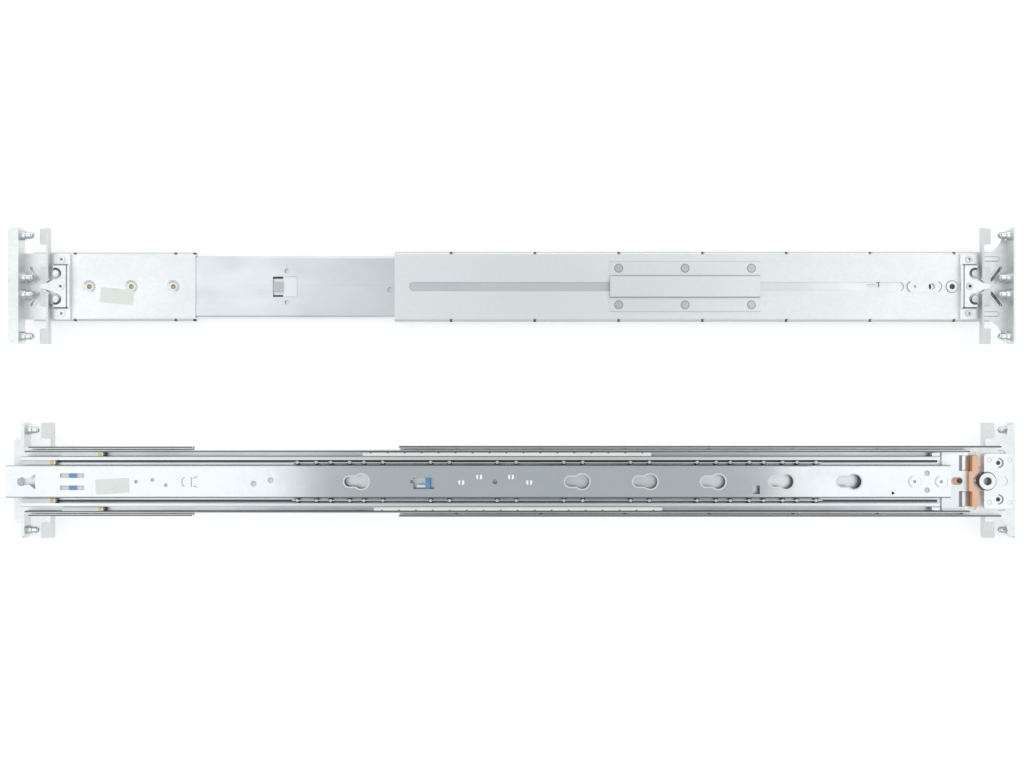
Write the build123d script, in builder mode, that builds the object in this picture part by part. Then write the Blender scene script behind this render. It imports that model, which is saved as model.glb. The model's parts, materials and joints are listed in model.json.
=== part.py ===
from build123d import *
import os

os.makedirs("parts", exist_ok=True)

# A pair of ball-bearing server rails lying side by side. Each rail is drawn in its own frame:
# x runs back from the pin face of the front flange, y is up the rack, and z runs from the
# server side out to the rack side. The right rail lies outer side up, the left one inner side up.

# Length along the rail
FLANGE_SPAN = 743.2
LEFT_REAR_OUT = 4.2
OUTER_FRONT = 4.0
OUTER_REAR = FLANGE_SPAN - 31.9
MIDDLE_FRONT = 1.5
MIDDLE_REAR = OUTER_REAR - 22.7
INNER_FRONT = -9.4
INNER_REAR = MIDDLE_REAR + 7.8
FRONT_BRACKET_START = 6.0
FRONT_BRACKET_END = 128.8
REAR_BRACKET_START = 279.7
REAR_BRACKET_SET_IN = 12.0

# Cross-section of the three telescoping members
SLIDE_DEPTH = 12.7
OUTER_HEIGHT = 47.0
MIDDLE_HEIGHT = 37.5
INNER_HEIGHT = 24.6
SHEET = 1.5
MIDDLE_LIP = 2.6
MEMBER_GAP = 0.8
OUTER_EDGE_Z = 2.0
MIDDLE_EDGE_Z = 1.2
INNER_DEPTH = 7.7
RACE_Z = 4.8
BALL = 4.0
BALL_PLAY = 0.06
BEND = 2.5
CLEAR = 0.3
STOP_LENGTH = 5.8
STOP_SET_BACK = 0.2
STOP_REACH = 2.6
STOP_DEPTH = 5.2

# Brackets
FRONT_BRACKET_HEIGHT = 52.0
REAR_BRACKET_HEIGHT = 53.0
BRACKET_EDGE_Z = 4.5
SLOT_START = REAR_BRACKET_START + 11.0
SLOT_END = FLANGE_SPAN - 77.7
SLOT_WIDTH = 7.0
DART_RADIUS = 3.0
DART_APEX = 2.4
DART_BACK_START = 1.6
DART_BACK_RADIUS = 1.3
DART_BACK_APEX = 3.6
FRONT_DARTS = (37.5, 113.7)
REAR_DARTS_AT = (43.8, 107.3, 170.8, 234.3, 297.8, 361.3)
BRACKET_RIVETS = (48.3, 80.05, 111.8)
DIMPLE = 10.0
DIMPLE_ANGLE = 120
RIVET_BORE = 3.8
RIVET_BODY = 6.0
RIVET_SUNK = 0.9
EMBOSS_START = SLOT_END + 1.2
EMBOSS_LENGTH = 28.0
EMBOSS_WIDTH = 8.4
SMALL_HOLE = 2.4
SMALL_HOLE_BACK = 6.6
MOON_HOLE = 5.0
MOON_HOLE_BACK = 19.6
RING_SET_IN = 41.4
RING = 8.8
RING_HOLE = 4.2

# Bridge over the slot
BRIDGE_START = 442.8
BRIDGE_LENGTH = 113.5
BRIDGE_HEIGHT = 37.4
BRIDGE_CORNER = 3.0
BRIDGE_RAISED = 16.2
BRIDGE_SHEET = 1.2
BRIDGE_RIVET_EDGE = 6.55
BRIDGE_RIVET_PITCH = BRIDGE_LENGTH / 2 - BRIDGE_RIVET_EDGE
BRIDGE_RIVET_ROW = 27.7
BRIDGE_RIVET = 5.6
BRIDGE_RIVET_PROUD = 0.4
STUD_BODY = 5.0
STUD_HEAD = 10.0
STUD_HEAD_DEPTH = 1.2
STUD_FRONT = 457.9
STUD_PITCH = 74.7

# Ears
EAR_HEIGHT = 87.3
EAR_EDGE_Z = 31.0
EAR_LIP = 7.8
EAR_LIP_CORNER = 4.0
EAR_INNER_LIP_HEIGHT = 64.5
EAR_INNER_LIP_CORNER = 3.0
EAR_WEB_HEIGHT = 50.0
FLANGE_CORNER = 2.0
OUTER_PIN_PITCH = 76.2
INNER_PIN_PITCH = 12.7
PIN_Z = 23.0
PIN_SHOULDER = 8.0
PIN_SHOULDER_LENGTH = 3.4
PIN_TIP = 5.8
PIN_LENGTH = 9.6
PIN_SHANK = 5.0
PIN_HEAD = 6.4
PIN_HEAD_DEPTH = 1.2
GUSSET_LENGTH = 18.5
GUSSET_TOP = 4.0
GUSSET_DROP = 3.0
GUSSET_CORNER = 1.0
RIB_LENGTH = 12.7
RIB_WIDTH = 3.4
RIB_Y = 20.8
RIB_U = 12.6
EMBOSS = 0.6
SLIT_LENGTH = 14.0
SLIT_WIDTH = 2.2
SLIT_RIM = 1.3
SLIT_U = 8.8
SLIT_Y = 9.4
SLIT_TILT = 128.0

# Scissor latch of each ear, measured from the flange and from the face of the ear web
FRONT_STRIP_U = 18.9
REAR_STRIP_U = 20.0
LEVER_SHEET = 1.2
STRIP_SHEET = 1.5
STRIP_HEIGHT = 9.0
TAB_REACH = 6.9
TAB_CORNER = 1.0
OUTER_TAB_HEIGHT = 12.0
INNER_TAB_TOP = 14.4
STRIP_INNER_END = 5.9
TAB_POINT_U = 2.3
TAB_POINT_Y = 0.8
PIVOT_SET_BACK = 5.4
PIVOT_Y = 9.66
PIVOT = 3.2
PIVOT_FIT = 0.05
PIVOT_HEAD = 4.8
LEVER_EYE = 8.4
TAIL_LENGTH = 4.5
TAIL_WIDTH = 4.0
TAIL_SET_BACK = 3.0
COVER_START = 3.6
COVER_END = 15.8
COVER_HEIGHT = 49.0
COVER_RAISED = 32.4
COVER_SHEET = 1.2
COVER_RIVET_SET_BACK = 9.4
COVER_RIVET_Y = 20.4
COVER_RIVET = 3.6
COVER_RIVET_HEAD = 5.2
COVER_RIVET_BORE = 2.2
RIVET_HEAD_DEPTH = 0.8
NOSE_REACH = 6.0
NOSE_HALF_WIDTH = 4.0
NOSE_HALF_TIP = 1.2
NOTCH_TOP = 12.6
NOTCH_BOTTOM = 5.2
SPRING_WIRE = 0.8
SPRING_TOP = 13.1
SPRING_BACK = 8.2
SPRING_ARM = 6.6
SPRING_HALF_BACK = 4.5
SPRING_HALF_ARM = 7.0

# Ball retainers
CAGE_UPPER_START = 256.8
CAGE_LOWER_START = 265.1
CAGE_LENGTH = 216.0
CAGE_CORNER = 1.0
CAGE_BALLS = 17
CAGE_PITCH = 12.7
CAGE_EDGE_Z = 1.9
CAGE_DEPTH = 5.4
RETAINER_START = 204.0
RETAINER_LENGTH = 397.0
RETAINER_SHEET = 0.6
RETAINER_EDGE_Z = 2.2
POCKET_PITCH = 24.97
POCKET_PAIR = 14.2
POCKET_FIRST = 3.7
POCKETS_FILLED = (0, 1, 2, 4, 6, 8, 10, 12, 13, 14, 15)

# Openings of the inner member
KEYHOLE_FIRST = 421.0
KEYHOLE_PITCH = 50.8
KEYHOLE_COUNT = 5
KEYHOLE_LONE = 256.0
KEYHOLE = 10.8
KEYHOLE_NECK = 7.4
KEYHOLE_REACH = 9.0
RELEASE_SLOT_START = 31.1
RELEASE_SLOT_LENGTH = 18.2
RELEASE_SLOT_WIDTH = 3.4
RELEASE_SLOT_PITCH = 9.1
INNER_WINDOW_START = 295.0
INNER_WINDOW_LENGTH = 15.6
INNER_WINDOW_WIDTH = 8.6
INNER_WINDOW_Y = -1.2
BEAK_LENGTH = 2.2
BEAK_WIDTH = 2.4
HOOK_EYE_X = 2.5
HOOK_EYE = 6.6
HOOK_NECK = 4.8
HOOK_FLARE_X = 8.0
HOOK_END_X = 12.6
HOOK_END_WIDTH = 11.6
WIDE_HOLES = ((175.7, -1.5), (188.4, 1.1))
WIDE_HOLE = 4.4
FINE_HOLES = ((87.9, 0.0), (100.2, 1.3), (110.2, -2.6))
FINE_HOLE = 2.8
DIMPLES_AT = ((330.8, -0.4), (344.1, 3.7), (367.9, 3.7), (381.5, -0.4))
DIMPLE_BALL = 10.0
DIMPLE_SINK = 0.55
RINGED_HOLE_X = 355.9
RINGED_HOLE = 3.6
RINGED_HOLE_RING = 7.4
WASHER_PITCH = 19.9
WASHER_SET_IN = 7.3
WASHER_RING = 10.0
WASHER_HOLE = 2.6
RING_CUT = 0.6
RING_DEPTH = 0.35
END_HOLES_SET_IN = 17.9
END_HOLES_PITCH = 12.7
END_HOLE = 4.2
SQUARE_HOLE_AT = (551.2, -6.0)
SQUARE_HOLE = (5.2, 6.4)
POINTER_SET_IN = 43.4
POINTER_Y = -8.5
POINTER = 1.7

# Plastic pieces and the hold latch
RELEASE_WIDTH = 20.0
RELEASE_HEAD_START = 36.4
RELEASE_HEAD_LENGTH = 8.6
RELEASE_LINK = 3.6
RELEASE_SHEET = 1.4
RELEASE_KEY_LENGTH = 6.2
RELEASE_KEY_START = 37.6
RELEASE_KEY_FIT = 0.3
RELEASE_BAND_START = 303.9
RELEASE_BAND_LENGTH = 3.5
RELEASE_BAR_START = 297.4
RELEASE_BAR_Y = -3.4
RELEASE_BAR_WIDTH = 1.9
HOLD_WINDOW_START = 187.3
HOLD_WINDOW_LENGTH = 18.4
HOLD_WINDOW_WIDTH = 15.4
HOLD_HOLE_X = 198.2
HOLD_HOLE_PITCH = 23.8
HOLD_HOLE = 4.0
HOLD_SHEET = 0.5
HOLD_CATCH_WIDTH = 7.6
HOLD_CATCH_LENGTH = 8.2
HOLD_TONGUE_LEAD = 6.0
HOLD_LEAF_LENGTH = 30.0
HOLD_LEAF_WIDTH = 21.4
HOLD_PAD_LOW = 0.6
LATCH_SLOT_X = 642.4
LATCH_SLOT_Y = 0.8
LATCH_SLOT_LENGTH = 9.8
LATCH_SLOT_WIDTH = 2.4
LATCH_SLOT_RISE = 3.1
PEEP_AT = (276.2, -2.3)
PEEP_HOLE = 4.0
GUIDE_CORNER = 1.0
OUTER_GUIDE_START = 31.8
OUTER_GUIDE_LENGTH = 31.1
MIDDLE_GUIDE_START = 1.7
MIDDLE_GUIDE_LENGTH = 25.4

# Rear end of the outer member, its glide block, and the platform of the rear ear
END_PLATE_START = OUTER_REAR - 19.5
END_PLATE_DROP = 2.8
END_WINDOW_LENGTH = 5.6
END_WINDOW_INNER = 7.8
END_WINDOW_OUTER = 19.2
END_TAB_LENGTH = 7.6
END_TAB_DROP = 1.5
END_SLOT_SET_IN = 8.1
END_SLOT_LENGTH = 8.6
END_SLOT_WIDTH = 5.6
GLIDE_HEIGHT = 38.5
GLIDE_END = FLANGE_SPAN - 25.1
GLIDE_FACE_Z = 4.0
GLIDE_TONGUE = 13.6
GLIDE_TONGUE_HEIGHT = 14.0
PLATFORM_U = 3.2
PLATFORM_LENGTH = 21.2
PLATFORM_HEIGHT = 41.0
PLATFORM_FACE_Z = 6.0
PLATFORM_CORNER = 2.0
BOSS = 12.8
BOSS_BORE = 5.6
BOSS_U = 22.2
BOSS_FACE_Z = 4.4
PLATFORM_HOLE = 3.4
PLATFORM_RECESS = 7.6
PLATFORM_RECESS_DEPTH = 0.8
PLATFORM_HOLE_U = 13.7
PLATFORM_HOLE_PITCH = 27.4
PLATFORM_DIMPLE_U = 10.4
PLATFORM_MARKS_U = (5.1, 20.4)
PLATFORM_MARK_Y = 15.9
PLATFORM_MARK = 3.0
PLATFORM_MARK_DEPTH = 0.3

# Lay-out of the pair
RAIL_PITCH = 146.7

# Levels and fits worked out from the sizes above
BRACKET_FACE = SLIDE_DEPTH + SHEET
REAR_WEB = SLIDE_DEPTH + CLEAR
REAR_FACE = REAR_WEB + SHEET
FRONT_EAR_FACE = BRACKET_FACE + SHEET
REAR_EAR_FACE = REAR_FACE + SHEET
OUTER_RACE = (OUTER_HEIGHT / 2 - SHEET + MIDDLE_HEIGHT / 2) / 2
INNER_RACE = (MIDDLE_HEIGHT / 2 - MIDDLE_LIP + INNER_HEIGHT / 2) / 2
GROOVE = BALL / 2 + BALL_PLAY
MIDDLE_WEB = SLIDE_DEPTH - SHEET - MEMBER_GAP
LEVER_LEVEL = CLEAR
TAB_LEVEL = EMBOSS + CLEAR
COVER_LEVEL = TAB_LEVEL + LEVER_SHEET + CLEAR
COVER_FACE = COVER_LEVEL + COVER_SHEET
SPAN_FRONT = min(INNER_FRONT, -EAR_LIP)
SPAN_REAR = FLANGE_SPAN + LEFT_REAR_OUT + SHEET + PIN_HEAD_DEPTH
MIDDLE_X = (SPAN_FRONT + SPAN_REAR) / 2


def place_rails(name, build, left_out=0.0):
    """Write the right-hand piece and its mirror image, drawn out by left_out, for the left rail."""
    piece = build()
    right = Pos(-MIDDLE_X, RAIL_PITCH / 2, 0) * piece
    left = Pos(left_out - MIDDLE_X, -RAIL_PITCH / 2, EAR_EDGE_Z) * mirror(piece, about=Plane.XY)
    for side, half in (("right", right), ("left", left)):
        half = Compound(half.solids()) if len(half.solids()) > 1 else half.solid()
        half.label = f"{side}_{name}"
        export_step(half, f"parts/{side}_{name}.step")


def front_ear_frame(piece):
    """Set a latch piece, drawn from the flange and the web face, on the front ear."""
    return Pos(0, 0, FRONT_EAR_FACE) * piece


def rear_ear_frame(piece):
    """Set a latch piece on the rear ear, which looks the other way."""
    return Pos(FLANGE_SPAN, 0, REAR_EAR_FACE) * mirror(piece, about=Plane.YZ)


def mirrored(x, y):
    """List one place above and one below the middle line."""
    return (x, y), (x, -y)


def channel(start, end, height, edge, face, web=SHEET, wall=SHEET, bend=BEND):
    """Extrude a C section whose web has its outer side at face and whose walls end at edge."""
    with BuildPart() as section:
        with BuildSketch(Plane.YZ.offset(start)) as profile:
            with Locations((0, (edge + face) / 2)):
                Rectangle(height, face - edge)
            fillet(profile.vertices().group_by(Axis.Y)[-1], bend)
            with Locations((0, (edge + face - web) / 2)):
                Rectangle(height - 2 * wall, face - web - edge, mode=Mode.SUBTRACT)
        extrude(amount=end - start)
    return section.part


def grooves(start, end, race):
    """Make the pair of round ball tracks at plus and minus race."""
    with BuildPart() as tracks:
        with BuildSketch(Plane.YZ.offset(start)):
            with Locations((race, RACE_Z), (-race, RACE_Z)):
                Circle(GROOVE)
        extrude(amount=end - start)
    return tracks.part


def bend_cones(positions, height, face, start, apex, radius):
    """Make cones that point into the two bends of a bracket, between two depths from the corner."""
    with BuildPart() as cones:
        for x in positions:
            for side in (1, -1):
                inward = Vector(0, -side, -1).normalized()
                middle = Vector(x, side * height / 2, face) + inward * ((start + apex) / 2)
                with Locations(Plane(origin=middle, x_dir=(1, 0, 0), z_dir=inward)):
                    Cone(radius, 0, apex - start)
    return cones.part


def darted_channel(start, end, height, face, positions):
    """Make a bracket channel with stiffening darts pressed into its bends."""
    with BuildPart() as bracket:
        add(channel(start, end, height, BRACKET_EDGE_Z, face))
        add(bend_cones(positions, height, face, DART_BACK_START, DART_BACK_APEX, DART_BACK_RADIUS))
        add(bend_cones(positions, height, face, 0, DART_APEX, DART_RADIUS), mode=Mode.SUBTRACT)
    return bracket.part


def end_tab(side):
    """One tab of the end plate, curling out towards the rack in its window."""
    start = OUTER_REAR - END_WINDOW_LENGTH
    under = SLIDE_DEPTH - END_PLATE_DROP - SHEET
    middle = side * (END_WINDOW_OUTER + END_WINDOW_INNER) / 2
    width = END_WINDOW_OUTER - END_WINDOW_INNER - 2 * CLEAR
    with BuildPart() as tab:
        with BuildSketch(Plane.XZ.offset(-middle)):
            with BuildLine():
                Line((start - SHEET, under), (start, under))
                ThreePointArc((start, under), (start + END_TAB_LENGTH * 0.6, under + END_TAB_DROP * 0.3),
                              (start + END_TAB_LENGTH, under + END_TAB_DROP))
                Line((start + END_TAB_LENGTH, under + END_TAB_DROP),
                     (start + END_TAB_LENGTH, under + END_TAB_DROP + SHEET))
                ThreePointArc((start + END_TAB_LENGTH, under + END_TAB_DROP + SHEET),
                              (start + END_TAB_LENGTH * 0.6, under + END_TAB_DROP * 0.3 + SHEET),
                              (start, under + SHEET))
                Line((start, under + SHEET), (start - SHEET, under + SHEET))
                Line((start - SHEET, under + SHEET), (start - SHEET, under))
            make_face()
        extrude(amount=width / 2, both=True)
    return tab.part


def outer_member():
    with BuildPart() as member:
        add(channel(OUTER_FRONT, END_PLATE_START, OUTER_HEIGHT, OUTER_EDGE_Z, SLIDE_DEPTH))
        add(channel(END_PLATE_START, OUTER_REAR, OUTER_HEIGHT, OUTER_EDGE_Z, SLIDE_DEPTH,
                    web=END_PLATE_DROP + SHEET))
        with BuildSketch(Plane.XY.offset(SLIDE_DEPTH)):
            with Locations(((END_PLATE_START + SHEET + OUTER_REAR) / 2, 0)):
                Rectangle(OUTER_REAR - END_PLATE_START - SHEET, OUTER_HEIGHT - 4 * SHEET)
        extrude(amount=-END_PLATE_DROP, mode=Mode.SUBTRACT)
        add(grooves(OUTER_FRONT, OUTER_REAR, OUTER_RACE), mode=Mode.SUBTRACT)
        with BuildSketch(Plane.XY.offset(SLIDE_DEPTH)):
            with Locations((HOLD_WINDOW_START + HOLD_WINDOW_LENGTH / 2, 0)):
                Rectangle(HOLD_WINDOW_LENGTH, HOLD_WINDOW_WIDTH)
            with Locations(*mirrored(HOLD_HOLE_X, HOLD_HOLE_PITCH / 2)):
                Circle(HOLD_HOLE / 2)
            with Locations(PEEP_AT):
                Circle(PEEP_HOLE / 2)
            with Locations((STUD_FRONT, 0), (STUD_FRONT + STUD_PITCH, 0)):
                Circle(STUD_BODY / 2)
            with Locations(*[(x, 0) for x in BRACKET_RIVETS]):
                Circle(RIVET_BODY / 2)
            with Locations((LATCH_SLOT_X, LATCH_SLOT_Y)):
                SlotOverall(LATCH_SLOT_LENGTH, LATCH_SLOT_WIDTH)
            rise_x = LATCH_SLOT_X + (LATCH_SLOT_LENGTH - LATCH_SLOT_WIDTH) / 2
            with Locations((rise_x, LATCH_SLOT_Y + LATCH_SLOT_RISE / 2)):
                Rectangle(LATCH_SLOT_WIDTH, LATCH_SLOT_RISE)
        extrude(amount=-SHEET, mode=Mode.SUBTRACT)
        with BuildSketch(Plane.XY.offset(SLIDE_DEPTH)):
            with Locations(*mirrored(OUTER_REAR, (END_WINDOW_OUTER + END_WINDOW_INNER) / 2)):
                Rectangle(2 * END_WINDOW_LENGTH, END_WINDOW_OUTER - END_WINDOW_INNER)
            with Locations((OUTER_REAR - END_SLOT_SET_IN, 0)):
                SlotOverall(END_SLOT_LENGTH, END_SLOT_WIDTH)
        extrude(amount=-END_PLATE_DROP - 2 * SHEET, mode=Mode.SUBTRACT)
        add(end_tab(1))
        add(end_tab(-1))
    return member.part


def middle_member():
    stop = MIDDLE_REAR - STOP_SET_BACK - STOP_LENGTH / 2
    with BuildPart() as member:
        add(channel(MIDDLE_FRONT, MIDDLE_REAR, MIDDLE_HEIGHT, MIDDLE_EDGE_Z, MIDDLE_WEB,
                    wall=MIDDLE_LIP))
        add(grooves(MIDDLE_FRONT, MIDDLE_REAR, OUTER_RACE), mode=Mode.SUBTRACT)
        add(grooves(MIDDLE_FRONT, MIDDLE_REAR, INNER_RACE), mode=Mode.SUBTRACT)
        with BuildSketch(Plane.XY.offset(MIDDLE_EDGE_Z)):
            with Locations(*mirrored(stop, (MIDDLE_HEIGHT - SHEET + STOP_REACH) / 2)):
                Rectangle(STOP_LENGTH, STOP_REACH + SHEET)
        extrude(amount=STOP_DEPTH)
    return member.part


def keyhole(x, y=0.0):
    """Sketch a keyhole whose neck points to the front of the rail."""
    with Locations((x, y)):
        Circle(KEYHOLE / 2)
    with Locations((x - KEYHOLE_REACH / 2, y)):
        SlotOverall(KEYHOLE_REACH + KEYHOLE_NECK, KEYHOLE_NECK)


def inner_openings():
    """Sketch everything that is punched through the web of the inner member."""
    with BuildSketch(Plane.XY) as punched:
        for count in range(KEYHOLE_COUNT):
            keyhole(KEYHOLE_FIRST + count * KEYHOLE_PITCH)
        keyhole(KEYHOLE_LONE)
        with Locations((HOOK_EYE_X, 0)):
            Circle(HOOK_EYE / 2)
        with BuildLine():
            Polyline((HOOK_EYE_X, HOOK_NECK / 2), (HOOK_FLARE_X, HOOK_NECK / 2),
                     (HOOK_END_X, HOOK_END_WIDTH / 2), (HOOK_END_X, -HOOK_END_WIDTH / 2),
                     (HOOK_FLARE_X, -HOOK_NECK / 2), (HOOK_EYE_X, -HOOK_NECK / 2), close=True)
        make_face()
        slot_x = RELEASE_SLOT_START + RELEASE_SLOT_LENGTH / 2
        with Locations(*mirrored(slot_x, RELEASE_SLOT_PITCH / 2)):
            RectangleRounded(RELEASE_SLOT_LENGTH, RELEASE_SLOT_WIDTH, SHEET / 2)
        with Locations((INNER_WINDOW_START + INNER_WINDOW_LENGTH / 2, INNER_WINDOW_Y)):
            Rectangle(INNER_WINDOW_LENGTH, INNER_WINDOW_WIDTH)
        with Locations((INNER_WINDOW_START - BEAK_LENGTH / 2, INNER_WINDOW_Y + BEAK_WIDTH / 2)):
            Rectangle(BEAK_LENGTH, BEAK_WIDTH)
        with Locations(*WIDE_HOLES):
            Circle(WIDE_HOLE / 2)
        with Locations(*FINE_HOLES):
            Circle(FINE_HOLE / 2)
        with Locations((RINGED_HOLE_X, 0)):
            Circle(RINGED_HOLE / 2)
        with Locations(*washer_places()):
            Circle(WASHER_HOLE / 2)
        with Locations(*mirrored(INNER_REAR - END_HOLES_SET_IN, END_HOLES_PITCH / 2)):
            Circle(END_HOLE / 2)
        with Locations(SQUARE_HOLE_AT):
            Rectangle(*SQUARE_HOLE)
        with Locations((INNER_REAR - POINTER_SET_IN, POINTER_Y)):
            RegularPolygon(POINTER, 3)
    return punched.sketch


def washer_places():
    """List the two flat rivets near the rear end of the inner member."""
    rear = INNER_REAR - WASHER_SET_IN
    return (rear - WASHER_PITCH, 0), (rear, 0)


def ring_groove(places, diameter):
    """Make shallow round grooves that set off a disc in the web of the inner member."""
    with BuildPart() as rings:
        with BuildSketch(Plane.XY):
            with Locations(*places):
                Circle(diameter / 2)
                Circle(diameter / 2 - RING_CUT, mode=Mode.SUBTRACT)
        extrude(amount=RING_DEPTH)
    return rings.part


def inner_member():
    with BuildPart() as member:
        with BuildSketch(Plane.YZ.offset(INNER_FRONT)) as profile:
            with Locations((0, INNER_DEPTH / 2)):
                Rectangle(INNER_HEIGHT, INNER_DEPTH)
            fillet(profile.vertices().group_by(Axis.Y)[0], SHEET)
            with Locations((0, (INNER_DEPTH + SHEET) / 2)):
                Rectangle(INNER_HEIGHT - 2 * SHEET, INNER_DEPTH - SHEET, mode=Mode.SUBTRACT)
        extrude(amount=INNER_REAR - INNER_FRONT)
        add(grooves(INNER_FRONT, INNER_REAR, INNER_RACE), mode=Mode.SUBTRACT)
        extrude(inner_openings(), amount=SHEET, mode=Mode.SUBTRACT)
        add(ring_groove([(RINGED_HOLE_X, 0)], RINGED_HOLE_RING), mode=Mode.SUBTRACT)
        add(ring_groove(washer_places(), WASHER_RING), mode=Mode.SUBTRACT)
        for x, y in DIMPLES_AT:
            with Locations((x, y, DIMPLE_SINK - DIMPLE_BALL / 2)):
                Sphere(DIMPLE_BALL / 2, mode=Mode.SUBTRACT)
    return member.part


def cage(start, side):
    """One plastic strip with its ball pockets, on the side given by the sign."""
    gap = OUTER_HEIGHT / 2 - SHEET - MIDDLE_HEIGHT / 2
    first = start + (CAGE_LENGTH - (CAGE_BALLS - 1) * CAGE_PITCH) / 2
    with BuildPart() as strip:
        with BuildSketch(Plane.XY.offset(CAGE_EDGE_Z)):
            with Locations((start + CAGE_LENGTH / 2, side * OUTER_RACE)):
                RectangleRounded(CAGE_LENGTH, gap - 2 * CLEAR, CAGE_CORNER)
        extrude(amount=CAGE_DEPTH)
        with BuildSketch(Plane.XZ.offset(-side * OUTER_RACE)):
            for count in range(CAGE_BALLS):
                with Locations((first + count * CAGE_PITCH, RACE_Z)):
                    Circle(GROOVE)
        extrude(amount=gap, both=True, mode=Mode.SUBTRACT)
    return strip.part


def outer_cages():
    with BuildPart() as cages:
        add(cage(CAGE_UPPER_START, 1))
        add(cage(CAGE_LOWER_START, -1))
    return cages.part


def outer_balls():
    margin = (CAGE_LENGTH - (CAGE_BALLS - 1) * CAGE_PITCH) / 2
    with BuildPart() as balls:
        for start, side in ((CAGE_UPPER_START, 1), (CAGE_LOWER_START, -1)):
            for count in range(CAGE_BALLS):
                with Locations((start + margin + count * CAGE_PITCH, side * OUTER_RACE, RACE_Z)):
                    Sphere(BALL / 2)
    return balls.part


def pocket_positions():
    """List the ball places along the retainer of the inner member."""
    places = []
    for pocket in POCKETS_FILLED:
        first = RETAINER_START + POCKET_FIRST + pocket * POCKET_PITCH
        places += [first, first + POCKET_PAIR]
    return places


def inner_retainer():
    web = MIDDLE_WEB - SHEET - CLEAR
    half = INNER_RACE + RETAINER_SHEET / 2
    with BuildPart() as retainer:
        add(channel(RETAINER_START, RETAINER_START + RETAINER_LENGTH, 2 * half, RETAINER_EDGE_Z,
                    web, web=RETAINER_SHEET, wall=RETAINER_SHEET, bend=RETAINER_SHEET))
        with BuildSketch(Plane.XZ):
            for x in pocket_positions():
                with Locations((x, RACE_Z)):
                    Circle(GROOVE)
        extrude(amount=MIDDLE_HEIGHT, both=True, mode=Mode.SUBTRACT)
    return retainer.part


def inner_balls():
    with BuildPart() as balls:
        for x in pocket_positions():
            with Locations((x, INNER_RACE, RACE_Z), (x, -INNER_RACE, RACE_Z)):
                Sphere(BALL / 2)
    return balls.part


def front_bracket():
    strip = FRONT_STRIP_U
    with BuildPart() as bracket:
        add(darted_channel(FRONT_BRACKET_START, FRONT_BRACKET_END, FRONT_BRACKET_HEIGHT,
                           BRACKET_FACE, FRONT_DARTS))
        with Locations(*[Location((x, 0, BRACKET_FACE)) for x in BRACKET_RIVETS]):
            CounterSinkHole(RIVET_BODY / 2, DIMPLE / 2, depth=SHEET, counter_sink_angle=DIMPLE_ANGLE)
        with BuildSketch(Plane.XY.offset(BRACKET_FACE)):
            with Locations(*rivet_places(strip)):
                Circle(COVER_RIVET / 2)
            with Locations(*mirrored(strip + PIVOT_SET_BACK, PIVOT_Y)):
                Circle(PIVOT / 2)
        extrude(amount=-SHEET, mode=Mode.SUBTRACT)
    return bracket.part


def rivet_places(strip):
    """List where the three rivets of a latch cover stand."""
    x = strip + COVER_RIVET_SET_BACK
    return (x, 0), (x, COVER_RIVET_Y), (x, -COVER_RIVET_Y)


def pin_heights():
    """List the four heights of the studs on an ear."""
    outer = OUTER_PIN_PITCH / 2
    inner = INNER_PIN_PITCH / 2
    return outer, inner, -inner, -outer


def slit_locations():
    """List the places and slants of the two slits in the web of an ear."""
    return Location((SLIT_U, SLIT_Y), SLIT_TILT), Location((SLIT_U, -SLIT_Y), -SLIT_TILT)


def ear_openings(strip):
    """Cutters through the web of an ear: rivet holes and the two slanted slits."""
    with BuildPart() as cutters:
        with BuildSketch(Plane.XY.offset(EMBOSS)):
            with Locations(*rivet_places(strip)):
                Circle(COVER_RIVET / 2)
            with Locations(*mirrored(strip + PIVOT_SET_BACK, PIVOT_Y)):
                Circle(PIVOT / 2)
            with Locations(*slit_locations()):
                SlotOverall(SLIT_LENGTH, SLIT_WIDTH)
        extrude(amount=-EMBOSS - SHEET)
    return cutters.part


def slit_rims():
    """Raised collars round the two slanted slits."""
    with BuildPart() as rims:
        with BuildSketch():
            with Locations(*slit_locations()):
                SlotOverall(SLIT_LENGTH + 2 * SLIT_RIM, SLIT_WIDTH + 2 * SLIT_RIM)
        extrude(amount=EMBOSS)
    return rims.part


def flange_plate(depth, below):
    """Stand the flange with its four stud holes, its pin face at u = 0."""
    with BuildPart() as plate:
        with BuildSketch(Plane.YZ) as outline:
            with Locations((0, (depth - below) / 2)):
                Rectangle(EAR_HEIGHT, depth + below)
            fillet(outline.vertices().group_by(Axis.Y)[0], FLANGE_CORNER)
            with Locations(*[(y, depth - (EAR_EDGE_Z - PIN_Z)) for y in pin_heights()]):
                Circle(PIN_SHANK / 2, mode=Mode.SUBTRACT)
        extrude(amount=-SHEET)
    return plate.part


def front_ear():
    depth = EAR_EDGE_Z - FRONT_EAR_FACE
    with BuildPart() as ear:
        add(flange_plate(depth, SHEET))
        with BuildSketch(Plane.XY.offset(depth)) as lip:
            with Locations((-EAR_LIP / 2, 0)):
                Rectangle(EAR_LIP, EAR_HEIGHT)
            fillet(lip.vertices().group_by(Axis.X)[0], EAR_LIP_CORNER)
        extrude(amount=-SHEET)
        with BuildSketch() as lip:
            with Locations((-EAR_LIP / 2, 0)):
                Rectangle(EAR_LIP, EAR_INNER_LIP_HEIGHT)
            fillet(lip.vertices().group_by(Axis.X)[0], EAR_INNER_LIP_CORNER)
        extrude(amount=-SHEET)
        with BuildSketch():
            with Locations(((FRONT_STRIP_U + COVER_END) / 2 - SHEET / 2, 0)):
                Rectangle(FRONT_STRIP_U + COVER_END + SHEET, EAR_WEB_HEIGHT)
        extrude(amount=-SHEET)
        add(slit_rims())
        add(ear_openings(FRONT_STRIP_U), mode=Mode.SUBTRACT)
    return front_ear_frame(ear.part)


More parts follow.
